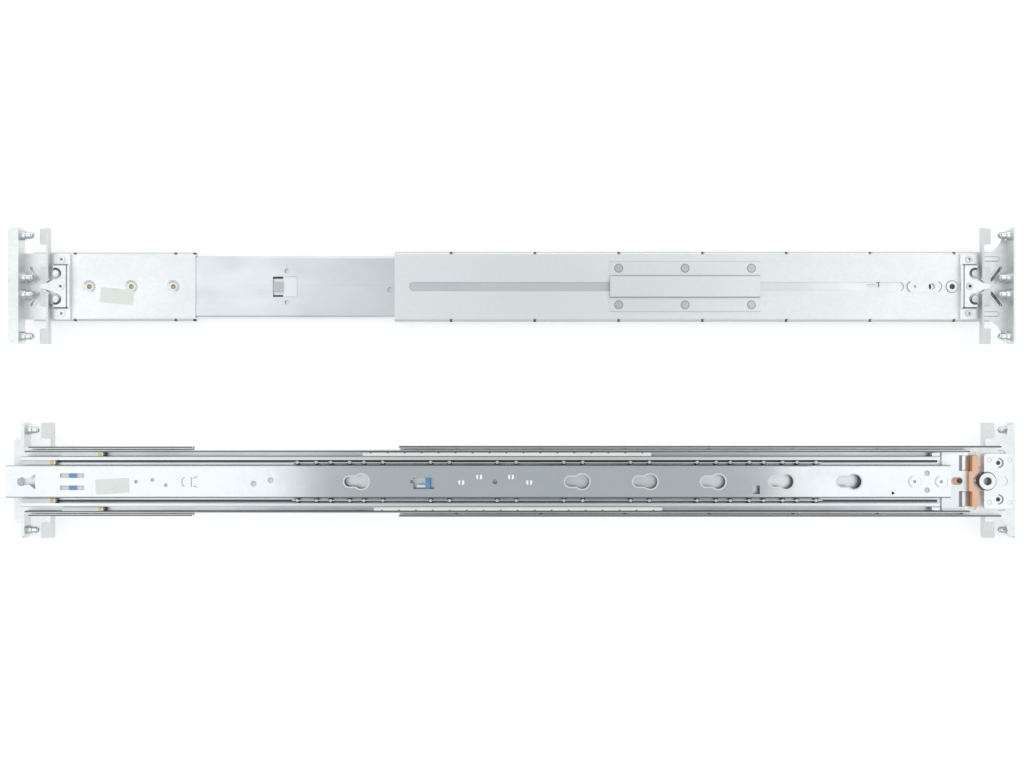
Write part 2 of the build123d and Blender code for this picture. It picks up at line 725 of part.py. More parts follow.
def gusset_outline(side, web_end, half):
    """Draw one edge of the rear ear's web: corner, curved gusset and straight side."""
    top = side * (EAR_HEIGHT / 2 - GUSSET_DROP)
    Line((0, side * (EAR_HEIGHT / 2 - GUSSET_CORNER)), (GUSSET_TOP, top))
    TangentArc((GUSSET_LENGTH, side * half), (GUSSET_TOP, top), tangent=(-1, 0))
    Line((GUSSET_LENGTH, side * half), (web_end, side * half))


def rear_ear():
    depth = EAR_EDGE_Z - REAR_EAR_FACE
    web_end = REAR_STRIP_U + COVER_END
    half = REAR_BRACKET_HEIGHT / 2 - SHEET
    edge = EAR_HEIGHT / 2 - GUSSET_CORNER
    with BuildPart() as ear:
        add(flange_plate(depth, SHEET))
        with BuildSketch():
            with BuildLine():
                Line((0, -edge), (0, edge))
                gusset_outline(1, web_end, half)
                Line((web_end, half), (web_end, -half))
                gusset_outline(-1, web_end, half)
            make_face()
        extrude(amount=-SHEET)
        with BuildSketch():
            with Locations(*mirrored(RIB_U, RIB_Y)):
                SlotOverall(RIB_LENGTH, RIB_WIDTH)
        extrude(amount=EMBOSS)
        add(slit_rims())
        add(ear_openings(REAR_STRIP_U), mode=Mode.SUBTRACT)
    return rear_ear_frame(ear.part)


def latch_cover(strip):
    """Hat-shaped cover over the two levers, with a nose between their inner tabs."""
    start = strip + COVER_START
    end = strip + COVER_END
    centre = (start + end) / 2
    pivot_x = strip + PIVOT_SET_BACK
    notch_y = (NOTCH_TOP + NOTCH_BOTTOM) / 2
    with BuildPart() as cover:
        with BuildSketch():
            with Locations((centre, 0)):
                Rectangle(end - start, COVER_HEIGHT)
        extrude(amount=COVER_SHEET)
        with BuildSketch():
            with Locations((centre, 0)):
                Rectangle(end - start, COVER_RAISED)
        extrude(amount=COVER_FACE)
        with BuildSketch():
            with Locations((centre - COVER_SHEET, 0)):
                Rectangle(end - start, COVER_RAISED - 2 * COVER_SHEET)
        extrude(amount=COVER_LEVEL, mode=Mode.SUBTRACT)
        with BuildSketch(Plane.XY.offset(COVER_LEVEL)):
            with BuildLine():
                Polyline((start, NOSE_HALF_WIDTH), (strip - NOSE_REACH, NOSE_HALF_TIP),
                         (strip - NOSE_REACH, -NOSE_HALF_TIP), (start, -NOSE_HALF_WIDTH), close=True)
            make_face()
        extrude(amount=COVER_SHEET)
        with BuildSketch(Plane.XY.offset(COVER_LEVEL)):
            with Locations(*mirrored(pivot_x, notch_y)):
                Circle((NOTCH_TOP - NOTCH_BOTTOM) / 2)
            with Locations(*mirrored((start + pivot_x) / 2, notch_y)):
                Rectangle(pivot_x - start, NOTCH_TOP - NOTCH_BOTTOM)
        extrude(amount=COVER_SHEET, mode=Mode.SUBTRACT)
        with BuildSketch():
            with Locations(*rivet_places(strip)):
                Circle(COVER_RIVET / 2)
        extrude(amount=COVER_FACE, mode=Mode.SUBTRACT)
    return cover.part


def latch_lever(strip, side):
    """One arm of the scissor latch: eye, standing strip, outer tab and pointed inner tab."""
    ear = EAR_HEIGHT / 2
    back = strip + STRIP_SHEET
    front = strip - TAB_REACH
    pivot = (strip + PIVOT_SET_BACK, PIVOT_Y)
    reach = COVER_RAISED / 2 - COVER_SHEET - CLEAR
    with BuildPart() as lever:
        with BuildSketch(Plane.XY.offset(LEVER_LEVEL)):
            with Locations(((strip + pivot[0]) / 2, PIVOT_Y)):
                Rectangle(pivot[0] - strip, LEVER_EYE - TAB_CORNER)
            with Locations(pivot):
                Circle(LEVER_EYE / 2)
            with Locations((pivot[0] + TAIL_SET_BACK, PIVOT_Y)):
                Rectangle(TAIL_LENGTH, TAIL_WIDTH)
        extrude(amount=LEVER_SHEET)
        with BuildSketch(Plane.YZ.offset(strip)):
            with BuildLine():
                Polyline((STRIP_INNER_END, LEVER_LEVEL), (reach, LEVER_LEVEL),
                         (reach, COVER_SHEET + CLEAR), (ear, COVER_SHEET + CLEAR),
                         (ear, STRIP_HEIGHT), (STRIP_INNER_END, STRIP_HEIGHT), close=True)
            make_face()
        extrude(amount=STRIP_SHEET)
        with BuildSketch(Plane.XY.offset(TAB_LEVEL)) as tabs:
            with Locations(((front + back) / 2, ear - OUTER_TAB_HEIGHT / 2)):
                Rectangle(back - front, OUTER_TAB_HEIGHT)
            fillet(tabs.vertices().group_by(Axis.X)[0], TAB_CORNER)
            with BuildLine():
                Polyline((back, STRIP_INNER_END), (back, INNER_TAB_TOP), (front, INNER_TAB_TOP),
                         (front, TAB_POINT_Y + TAB_POINT_U), (front + TAB_POINT_U, TAB_POINT_Y), close=True)
            make_face()
        extrude(amount=LEVER_SHEET)
        with BuildSketch():
            with Locations(pivot):
                Circle(PIVOT / 2 + PIVOT_FIT)
        extrude(amount=2 * LEVER_SHEET, mode=Mode.SUBTRACT)
    return lever.part if side > 0 else mirror(lever.part, about=Plane.XZ)


def latch_spring(strip):
    """Bent leaf spring that pushes both levers shut, seated on the ear web."""
    back = strip + PIVOT_SET_BACK
    with BuildPart() as spring:
        with BuildSketch():
            with BuildLine():
                Polyline((back + SPRING_ARM, SPRING_TOP), (back + SPRING_ARM, SPRING_HALF_ARM),
                         (back + SPRING_BACK, SPRING_HALF_BACK), (back + SPRING_BACK, -SPRING_HALF_BACK),
                         (back + SPRING_ARM, -SPRING_HALF_ARM), (back + SPRING_ARM, -SPRING_TOP))
            trace(line_width=SPRING_WIRE)
        extrude(amount=LEVER_LEVEL + LEVER_SHEET)
    return spring.part


def latch_rivets(strip, below):
    """Pivots of the two levers and the three rivets of the cover."""
    with BuildPart() as rivets:
        for side in (1, -1):
            with BuildSketch(Plane.XY.offset(-below)):
                with Locations((strip + PIVOT_SET_BACK, side * PIVOT_Y)):
                    Circle(PIVOT / 2)
            extrude(amount=below + COVER_LEVEL)
            with BuildSketch(Plane.XY.offset(COVER_LEVEL)):
                with Locations((strip + PIVOT_SET_BACK, side * PIVOT_Y)):
                    Circle(PIVOT_HEAD / 2)
            extrude(amount=COVER_SHEET)
        for place, face in zip(rivet_places(strip), (COVER_FACE, COVER_SHEET, COVER_SHEET)):
            with BuildSketch(Plane.XY.offset(-below)):
                with Locations(place):
                    Circle(COVER_RIVET / 2)
                    Circle(COVER_RIVET_BORE / 2, mode=Mode.SUBTRACT)
            extrude(amount=below + face)
            with BuildSketch(Plane.XY.offset(face)):
                with Locations(place):
                    Circle(COVER_RIVET_HEAD / 2)
                    Circle(COVER_RIVET_BORE / 2, mode=Mode.SUBTRACT)
            extrude(amount=RIVET_HEAD_DEPTH)
    return rivets.part


def pins():
    """Four stepped studs with bullet noses, riveted through a flange at u = 0."""
    nose = PIN_TIP / 2
    with BuildPart() as studs:
        for y in pin_heights():
            with BuildSketch(Plane(origin=(0, y, 0), x_dir=(1, 0, 0), z_dir=(0, -1, 0))):
                with BuildLine():
                    Polyline((PIN_LENGTH, 0), (-SHEET - PIN_HEAD_DEPTH, 0),
                             (-SHEET - PIN_HEAD_DEPTH, PIN_HEAD / 2), (-SHEET, PIN_HEAD / 2),
                             (-SHEET, PIN_SHANK / 2), (0, PIN_SHANK / 2), (0, PIN_SHOULDER / 2),
                             (PIN_SHOULDER_LENGTH, PIN_SHOULDER / 2), (PIN_SHOULDER_LENGTH, nose),
                             (PIN_LENGTH - nose, nose))
                    TangentArc((PIN_LENGTH - nose, nose), (PIN_LENGTH, 0), tangent=(1, 0))
                make_face()
            revolve(axis=Axis((0, y, 0), (1, 0, 0)))
    return studs.part


def fixed_rivets():
    """Everything riveted to the outer member: cover, pivots, bracket rivets and guide studs."""
    with BuildPart() as rivets:
        add(front_ear_frame(latch_rivets(FRONT_STRIP_U, SHEET + SHEET)))
        for x in BRACKET_RIVETS:
            with BuildSketch(Plane.XY.offset(SLIDE_DEPTH - SHEET)):
                with Locations((x, 0)):
                    Circle(RIVET_BODY / 2)
                    Circle(RIVET_BORE / 2, mode=Mode.SUBTRACT)
            extrude(amount=2 * SHEET - RIVET_SUNK)
        for x in (STUD_FRONT, STUD_FRONT + STUD_PITCH):
            with BuildSketch(Plane.XY.offset(SLIDE_DEPTH - SHEET)):
                with Locations((x, 0)):
                    Circle(STUD_BODY / 2)
            extrude(amount=SHEET)
            with BuildSketch(Plane.XY.offset(SLIDE_DEPTH)):
                with Locations((x, 0)):
                    Circle(SLOT_WIDTH / 2 - CLEAR)
            extrude(amount=REAR_FACE + CLEAR - SLIDE_DEPTH)
            with BuildSketch(Plane.XY.offset(REAR_FACE + CLEAR)):
                with Locations((x, 0)):
                    Circle(STUD_HEAD / 2)
            extrude(amount=STUD_HEAD_DEPTH)
    return rivets.part


def rear_bracket():
    end = FLANGE_SPAN - REAR_BRACKET_SET_IN
    strip = FLANGE_SPAN - REAR_STRIP_U
    ring_x = FLANGE_SPAN - RING_SET_IN
    places = [REAR_BRACKET_START + x for x in REAR_DARTS_AT]
    with BuildPart() as bracket:
        add(darted_channel(REAR_BRACKET_START, end, REAR_BRACKET_HEIGHT, REAR_FACE, places))
        with BuildSketch(Plane.XY.offset(REAR_FACE)):
            with Locations((EMBOSS_START + EMBOSS_LENGTH / 2, 0)):
                SlotOverall(EMBOSS_LENGTH, EMBOSS_WIDTH)
            with Locations((ring_x, 0)):
                Circle(RING / 2)
        extrude(amount=EMBOSS)
        with BuildSketch(Plane.XY.offset(REAR_FACE + EMBOSS)):
            with Locations(((SLOT_START + SLOT_END) / 2, 0)):
                SlotOverall(SLOT_END - SLOT_START, SLOT_WIDTH)
            with Locations(*bridge_rivet_places()):
                Circle(BRIDGE_RIVET / 2)
            with Locations((strip - COVER_RIVET_SET_BACK, 0), *mirrored(strip - COVER_RIVET_SET_BACK, COVER_RIVET_Y)):
                Circle(COVER_RIVET / 2)
            with Locations(*mirrored(strip - PIVOT_SET_BACK, PIVOT_Y)):
                Circle(PIVOT / 2)
            with Locations((EMBOSS_START + SMALL_HOLE_BACK, 0)):
                Circle(SMALL_HOLE / 2)
            with Locations((EMBOSS_START + MOON_HOLE_BACK, 0)):
                Circle(MOON_HOLE / 2)
            with Locations((ring_x, 0)):
                Circle(RING_HOLE / 2)
        extrude(amount=-SHEET - EMBOSS, mode=Mode.SUBTRACT)
    return bracket.part


def bridge_rivet_places():
    """List the six rivets that hold the bridge plate, three on each side of the slot."""
    middle = BRIDGE_START + BRIDGE_LENGTH / 2
    places = []
    for step in (-1, 0, 1):
        places += mirrored(middle + step * BRIDGE_RIVET_PITCH, BRIDGE_RIVET_ROW / 2)
    return places


def bridge_plate():
    """Hat section over the slot: its raised middle clears the heads of the guide studs."""
    middle = BRIDGE_START + BRIDGE_LENGTH / 2
    under = 2 * CLEAR + STUD_HEAD_DEPTH
    with BuildPart() as bridge:
        with BuildSketch(Plane.XY.offset(REAR_FACE)):
            with Locations((middle, 0)):
                RectangleRounded(BRIDGE_LENGTH, BRIDGE_HEIGHT, BRIDGE_CORNER)
        extrude(amount=BRIDGE_SHEET)
        with BuildSketch(Plane.XY.offset(REAR_FACE)):
            with Locations((middle, 0)):
                Rectangle(BRIDGE_LENGTH, BRIDGE_RAISED)
        extrude(amount=under + BRIDGE_SHEET)
        with BuildSketch(Plane.XY.offset(REAR_FACE)):
            with Locations((middle, 0)):
                Rectangle(BRIDGE_LENGTH, BRIDGE_RAISED - 2 * BRIDGE_SHEET)
        extrude(amount=under, mode=Mode.SUBTRACT)
        with BuildSketch(Plane.XY.offset(REAR_FACE)):
            with Locations(*bridge_rivet_places()):
                Circle(BRIDGE_RIVET / 2)
        extrude(amount=BRIDGE_SHEET, mode=Mode.SUBTRACT)
    return bridge.part


def rear_rivets():
    """Rivets of the rear latch and of the bridge plate."""
    latch = rear_ear_frame(latch_rivets(REAR_STRIP_U, SHEET + SHEET))
    with BuildPart() as rivets:
        add(latch)
        with BuildSketch(Plane.XY.offset(REAR_WEB)):
            with Locations(*bridge_rivet_places()):
                Circle(BRIDGE_RIVET / 2)
        extrude(amount=SHEET + BRIDGE_SHEET + BRIDGE_RIVET_PROUD)
    return rivets.part


def release_slide():
    """Plastic pull strip in the inner member: a head keyed in two slots, a link and an end hook."""
    level = SHEET + CLEAR
    band_end = RELEASE_BAND_START + RELEASE_BAND_LENGTH
    key_x = RELEASE_KEY_START + RELEASE_KEY_LENGTH / 2
    low = INNER_WINDOW_Y - INNER_WINDOW_WIDTH / 2 - SHEET
    with BuildPart() as strip:
        with BuildSketch(Plane.XY.offset(level)):
            with Locations((RELEASE_HEAD_START + RELEASE_HEAD_LENGTH / 2, 0)):
                Rectangle(RELEASE_HEAD_LENGTH, RELEASE_WIDTH)
            with Locations(((RELEASE_HEAD_START + band_end) / 2, (RELEASE_WIDTH - RELEASE_LINK) / 2)):
                Rectangle(band_end - RELEASE_HEAD_START, RELEASE_LINK)
            with Locations((band_end - RELEASE_BAND_LENGTH / 2, (RELEASE_WIDTH / 2 + low) / 2)):
                Rectangle(RELEASE_BAND_LENGTH, RELEASE_WIDTH / 2 - low)
            with Locations(((RELEASE_BAR_START + band_end) / 2, RELEASE_BAR_Y)):
                Rectangle(band_end - RELEASE_BAR_START, RELEASE_BAR_WIDTH)
        extrude(amount=RELEASE_SHEET)
        with BuildSketch(Plane.XY.offset(level)):
            with Locations(*mirrored(key_x, RELEASE_SLOT_PITCH / 2)):
                SlotOverall(RELEASE_KEY_LENGTH, RELEASE_SLOT_WIDTH - 2 * RELEASE_KEY_FIT)
        extrude(amount=CLEAR - level)
    return strip.part


def hold_latch():
    """Leaf latch under the outer web: a tongue with its catch and a pad stand in the window."""
    face = SLIDE_DEPTH - SHEET
    catch_end = HOLD_WINDOW_START + HOLD_CATCH_LENGTH
    tongue_start = HOLD_WINDOW_START - HOLD_TONGUE_LEAD
    pad_end = HOLD_WINDOW_START + HOLD_WINDOW_LENGTH - CLEAR
    with BuildPart() as latch:
        with BuildSketch(Plane.XY.offset(face)):
            with Locations(((tongue_start + catch_end) / 2, 0)):
                Rectangle(catch_end - tongue_start, HOLD_CATCH_WIDTH)
            with Locations((catch_end + HOLD_LEAF_LENGTH / 2, 0)):
                Rectangle(HOLD_LEAF_LENGTH, HOLD_LEAF_WIDTH)
        extrude(amount=-HOLD_SHEET)
        with BuildSketch(Plane.XY.offset(face)):
            with Locations(((HOLD_WINDOW_START + CLEAR + catch_end) / 2, 0)):
                Rectangle(HOLD_CATCH_LENGTH - CLEAR, HOLD_CATCH_WIDTH)
        extrude(amount=SHEET)
        with BuildSketch(Plane.XY.offset(face)):
            with Locations(((catch_end + pad_end) / 2, 0)):
                Rectangle(pad_end - catch_end, HOLD_WINDOW_WIDTH - 2 * CLEAR)
        extrude(amount=SHEET - HOLD_PAD_LOW)
    return latch.part


def glide_block():
    """Plastic end block behind the outer member, with a tongue behind its end plate."""
    with BuildPart() as block:
        with BuildSketch(Plane.XY.offset(GLIDE_FACE_Z)):
            with Locations(((OUTER_REAR + GLIDE_END) / 2, 0)):
                Rectangle(GLIDE_END - OUTER_REAR, GLIDE_HEIGHT)
            with Locations((FLANGE_SPAN - BOSS_U, 0)):
                Circle(BOSS / 2 + 2 * CLEAR, mode=Mode.SUBTRACT)
            notch_x = OUTER_REAR + (END_TAB_LENGTH - END_WINDOW_LENGTH) / 2
            with Locations(*mirrored(notch_x, (END_WINDOW_OUTER + END_WINDOW_INNER) / 2)):
                Rectangle(END_TAB_LENGTH - END_WINDOW_LENGTH + 2 * CLEAR,
                          END_WINDOW_OUTER - END_WINDOW_INNER + 2 * CLEAR, mode=Mode.SUBTRACT)
        extrude(amount=SLIDE_DEPTH - GLIDE_FACE_Z)
        with BuildSketch(Plane.XY.offset(SLIDE_DEPTH)):
            with Locations((OUTER_REAR - GLIDE_TONGUE / 2, 0)):
                Rectangle(GLIDE_TONGUE, GLIDE_TONGUE_HEIGHT)
        extrude(amount=-END_PLATE_DROP)
    return block.part


def rear_platform():
    """Pressed platform on the inner side of the rear ear, with its ring boss."""
    near = FLANGE_SPAN - PLATFORM_U - PLATFORM_LENGTH
    middle = near + PLATFORM_LENGTH / 2
    hole_x = FLANGE_SPAN - PLATFORM_HOLE_U
    marks = [(FLANGE_SPAN - u, side * PLATFORM_MARK_Y) for u in PLATFORM_MARKS_U for side in (1, -1)]
    with BuildPart() as platform:
        with BuildSketch(Plane.XY.offset(REAR_WEB)):
            with Locations((middle, 0)):
                RectangleRounded(PLATFORM_LENGTH, PLATFORM_HEIGHT, PLATFORM_CORNER)
        extrude(amount=PLATFORM_FACE_Z - REAR_WEB)
        with BuildSketch(Plane.XY.offset(REAR_WEB)):
            with Locations((middle, 0)):
                Rectangle(PLATFORM_LENGTH - 2 * SHEET, PLATFORM_HEIGHT - 2 * SHEET)
        extrude(amount=PLATFORM_FACE_Z + SHEET - REAR_WEB, mode=Mode.SUBTRACT)
        with BuildSketch(Plane.XY.offset(REAR_WEB)):
            with Locations((FLANGE_SPAN - BOSS_U, 0)):
                Circle(BOSS / 2)
        extrude(amount=BOSS_FACE_Z - REAR_WEB)
        with BuildSketch(Plane.XY.offset(REAR_WEB)):
            with Locations((FLANGE_SPAN - BOSS_U, 0)):
                Circle(BOSS_BORE / 2)
            with Locations(*mirrored(hole_x, PLATFORM_HOLE_PITCH / 2)):
                Circle(PLATFORM_HOLE / 2)
        extrude(amount=BOSS_FACE_Z - REAR_WEB, mode=Mode.SUBTRACT)
        with BuildSketch(Plane.XY.offset(PLATFORM_FACE_Z)):
            with Locations(*mirrored(hole_x, PLATFORM_HOLE_PITCH / 2), (FLANGE_SPAN - PLATFORM_DIMPLE_U, 0)):
                Circle(PLATFORM_RECESS / 2)
        extrude(amount=PLATFORM_RECESS_DEPTH, mode=Mode.SUBTRACT)
        with BuildSketch(Plane.XY.offset(PLATFORM_FACE_Z)):
            with Locations(*marks):
                Circle(PLATFORM_MARK / 2)
        extrude(amount=PLATFORM_MARK_DEPTH, mode=Mode.SUBTRACT)
    return platform.part


def edge_guides(start, length, race, gap):
    """Pair of plastic lead-in strips that fill the gap between two members."""
    with BuildPart() as guides:
        with BuildSketch(Plane.XY.offset(OUTER_EDGE_Z)):
            with Locations(*mirrored(start + length / 2, race)):
                RectangleRounded(length, gap, GUIDE_CORNER)
        extrude(amount=CAGE_DEPTH)
    return guides.part


def front_guides():
    inside = OUTER_HEIGHT / 2 - SHEET
    gap = inside - MIDDLE_HEIGHT / 2 - CLEAR
    return edge_guides(OUTER_GUIDE_START, OUTER_GUIDE_LENGTH, inside - gap / 2, gap)


def middle_guides():
    inside = MIDDLE_HEIGHT / 2 - MIDDLE_LIP
    gap = inside - INNER_HEIGHT / 2 - CLEAR
    return edge_guides(MIDDLE_GUIDE_START, MIDDLE_GUIDE_LENGTH, inside - gap / 2, gap)


place_rails("outer_member", outer_member)
place_rails("middle_member", middle_member)
place_rails("inner_member", inner_member)
place_rails("outer_cages", outer_cages)
place_rails("outer_balls", outer_balls)
place_rails("inner_retainer", inner_retainer)
place_rails("inner_balls", inner_balls)
place_rails("front_bracket", front_bracket)
place_rails("front_ear", front_ear)
place_rails("front_cover", lambda: front_ear_frame(latch_cover(FRONT_STRIP_U)))
place_rails("front_pins", lambda: Pos(0, 0, PIN_Z) * pins())
place_rails("front_lever_upper", lambda: front_ear_frame(latch_lever(FRONT_STRIP_U, 1)))
place_rails("front_lever_lower", lambda: front_ear_frame(latch_lever(FRONT_STRIP_U, -1)))
place_rails("front_spring", lambda: front_ear_frame(latch_spring(FRONT_STRIP_U)))
place_rails("fixed_rivets", fixed_rivets)
place_rails("release_slide", release_slide)
place_rails("hold_latch", hold_latch)
place_rails("glide_block", glide_block)
place_rails("front_guides", front_guides)
place_rails("middle_guides", middle_guides)

# The left rail's rear bracket is drawn out a little further than the right one's, as in the photo.
place_rails("rear_bracket", rear_bracket, LEFT_REAR_OUT)
place_rails("rear_ear", rear_ear, LEFT_REAR_OUT)
place_rails("rear_cover", lambda: rear_ear_frame(latch_cover(REAR_STRIP_U)), LEFT_REAR_OUT)
place_rails("rear_pins", lambda: Pos(FLANGE_SPAN, 0, PIN_Z) * mirror(pins(), about=Plane.YZ), LEFT_REAR_OUT)
place_rails("rear_lever_upper", lambda: rear_ear_frame(latch_lever(REAR_STRIP_U, 1)), LEFT_REAR_OUT)
place_rails("rear_lever_lower", lambda: rear_ear_frame(latch_lever(REAR_STRIP_U, -1)), LEFT_REAR_OUT)
place_rails("rear_spring", lambda: rear_ear_frame(latch_spring(REAR_STRIP_U)), LEFT_REAR_OUT)
place_rails("rear_rivets", rear_rivets, LEFT_REAR_OUT)
place_rails("bridge_plate", bridge_plate, LEFT_REAR_OUT)
place_rails("rear_platform", rear_platform, LEFT_REAR_OUT)
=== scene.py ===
"""Dresses a pair of telescopic server rails: zinc, plated and plastic finishes, bare labels, studio and camera."""

import json
import logging
import math
from dataclasses import dataclass
from enum import Enum
from typing import Dict, List, Optional, Sequence, Tuple, Union

import bmesh
import bpy
from mathutils import Matrix, Vector

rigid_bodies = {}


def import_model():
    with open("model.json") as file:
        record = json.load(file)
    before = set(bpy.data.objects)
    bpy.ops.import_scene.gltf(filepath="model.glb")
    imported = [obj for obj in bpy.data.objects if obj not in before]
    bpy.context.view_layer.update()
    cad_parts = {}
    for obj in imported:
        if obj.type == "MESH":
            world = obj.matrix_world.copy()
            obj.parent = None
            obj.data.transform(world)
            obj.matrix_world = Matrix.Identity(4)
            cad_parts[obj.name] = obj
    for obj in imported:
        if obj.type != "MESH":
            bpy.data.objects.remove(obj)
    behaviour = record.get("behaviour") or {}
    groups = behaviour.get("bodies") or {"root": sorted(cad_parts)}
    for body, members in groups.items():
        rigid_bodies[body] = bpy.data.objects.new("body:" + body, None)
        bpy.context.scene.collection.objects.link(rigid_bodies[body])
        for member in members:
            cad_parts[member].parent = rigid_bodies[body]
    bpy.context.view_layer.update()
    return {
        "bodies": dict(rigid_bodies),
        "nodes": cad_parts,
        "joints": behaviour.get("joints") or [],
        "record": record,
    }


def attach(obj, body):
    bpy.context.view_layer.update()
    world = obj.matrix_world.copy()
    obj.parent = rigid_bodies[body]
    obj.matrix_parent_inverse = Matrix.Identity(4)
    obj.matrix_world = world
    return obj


LOG = logging.getLogger("server_rails")
MM = 0.001
MIDDLE_X = 370.35
LEFT_REAR_OUT = 4.2
RAIL_PITCH = 146.7
EAR_EDGE_Z = 31.0
FRONT_DARTS = (37.5, 113.7)
REAR_DARTS = (322.4, 385.9, 449.4, 512.9, 576.4, 639.9, 703.4)
BRIGHT_ZINC = (0.95, 0.955, 0.95)
DULL_ZINC = (0.86, 0.87, 0.875)
FINE_CRYSTAL = 0.0022
BUMP_HEIGHT = 0.0001
BACKING_LEVELS = (1.56, 1.7)

Colour = Tuple[float, float, float]
Range = Tuple[float, float]
Value = Union[int, float, Sequence[float], "Wire"]


class Side(Enum):
    """The two rails of the pair."""

    RIGHT = "right"
    LEFT = "left"


@dataclass(frozen=True)
class RailFrame:
    """Carries rail millimetres (x back, y up, z out of the rack) to the row frame in metres."""

    side: Side

    def matrix(self) -> Matrix:
        """Return the transform from rail millimetres to the row frame."""
        sign = 1.0 if self.side is Side.RIGHT else -1.0
        lift = 0.0 if self.side is Side.RIGHT else EAR_EDGE_Z
        place = Matrix.Translation((-MIDDLE_X * MM, sign * RAIL_PITCH / 2 * MM, lift * MM))
        return place @ Matrix.Diagonal((MM, MM, sign * MM, 1.0))

    def node(self, name: str) -> str:
        """Return the name of this rail's CAD node."""
        return f"{self.side.value}_{name}"


class Wire:
    """An output of a shader node that joins in sums like a number."""

    def __init__(self, board: "Board", socket: Optional[bpy.types.NodeSocket]) -> None:
        """Keep the socket and the board that it belongs to.

        Args:
            board: The node board that makes further nodes.
            socket: The output socket to wrap, or None for a node without outputs.
        """
        self.board = board
        self.socket = socket

    def _math(self, operation: str, first: Value, second: Value) -> "Wire":
        """Return a Math node's output for two terms."""
        return self.board.node("ShaderNodeMath", {"operation": operation}, {0: first, 1: second})

    def __add__(self, other: Value) -> "Wire":
        """Return self + other."""
        return self._math("ADD", self, other)

    def __radd__(self, other: Value) -> "Wire":
        """Return other + self."""
        return self._math("ADD", other, self)

    def __sub__(self, other: Value) -> "Wire":
        """Return self - other."""
        return self._math("SUBTRACT", self, other)

    def __rsub__(self, other: Value) -> "Wire":
        """Return other - self."""
        return self._math("SUBTRACT", other, self)

    def __mul__(self, other: Value) -> "Wire":
        """Return self * other."""
        return self._math("MULTIPLY", self, other)

    def __rmul__(self, other: Value) -> "Wire":
        """Return other * self."""
        return self._math("MULTIPLY", other, self)

    def __gt__(self, other: Value) -> "Wire":
        """Return 1 where self is greater than other, and 0 elsewhere."""
        return self._math("GREATER_THAN", self, other)

    def __abs__(self) -> "Wire":
        """Return self without its sign."""
        return self.board.node("ShaderNodeMath", {"operation": "ABSOLUTE"}, {0: self})

    def root(self) -> "Wire":
        """Return the square root of self."""
        return self.board.node("ShaderNodeMath", {"operation": "SQRT"}, {0: self})

    def clamp(self) -> "Wire":
        """Return self held between 0 and 1."""
        return self.board.node("ShaderNodeClamp", {}, {"Value": self})

    def spread(self, source: Range, target: Range) -> "Wire":
        """Return self carried from the range source to the range target, clamped."""
        return self.board.node("ShaderNodeMapRange", {"clamp": True},
                               {"Value": self, "From Min": source[0], "From Max": source[1],
                                "To Min": target[0], "To Max": target[1]})

    def within(self, low: float, high: float, soft: float) -> "Wire":
        """Return 1 between low and high, falling to 0 over soft on either side."""
        rise = self.spread((low - soft, low), (0.0, 1.0))
        return rise * self.spread((high, high + soft), (1.0, 0.0))


@dataclass(frozen=True)
class RailPlace:
    """Where a point of either rail lies, in rail millimetres: along it, across its middle line, and outwards.

    The last wire is 1 in the upper half of the rail and 0 in the lower half.
    """

    along: Wire
    across: Wire
    out: Wire
    upper: Wire


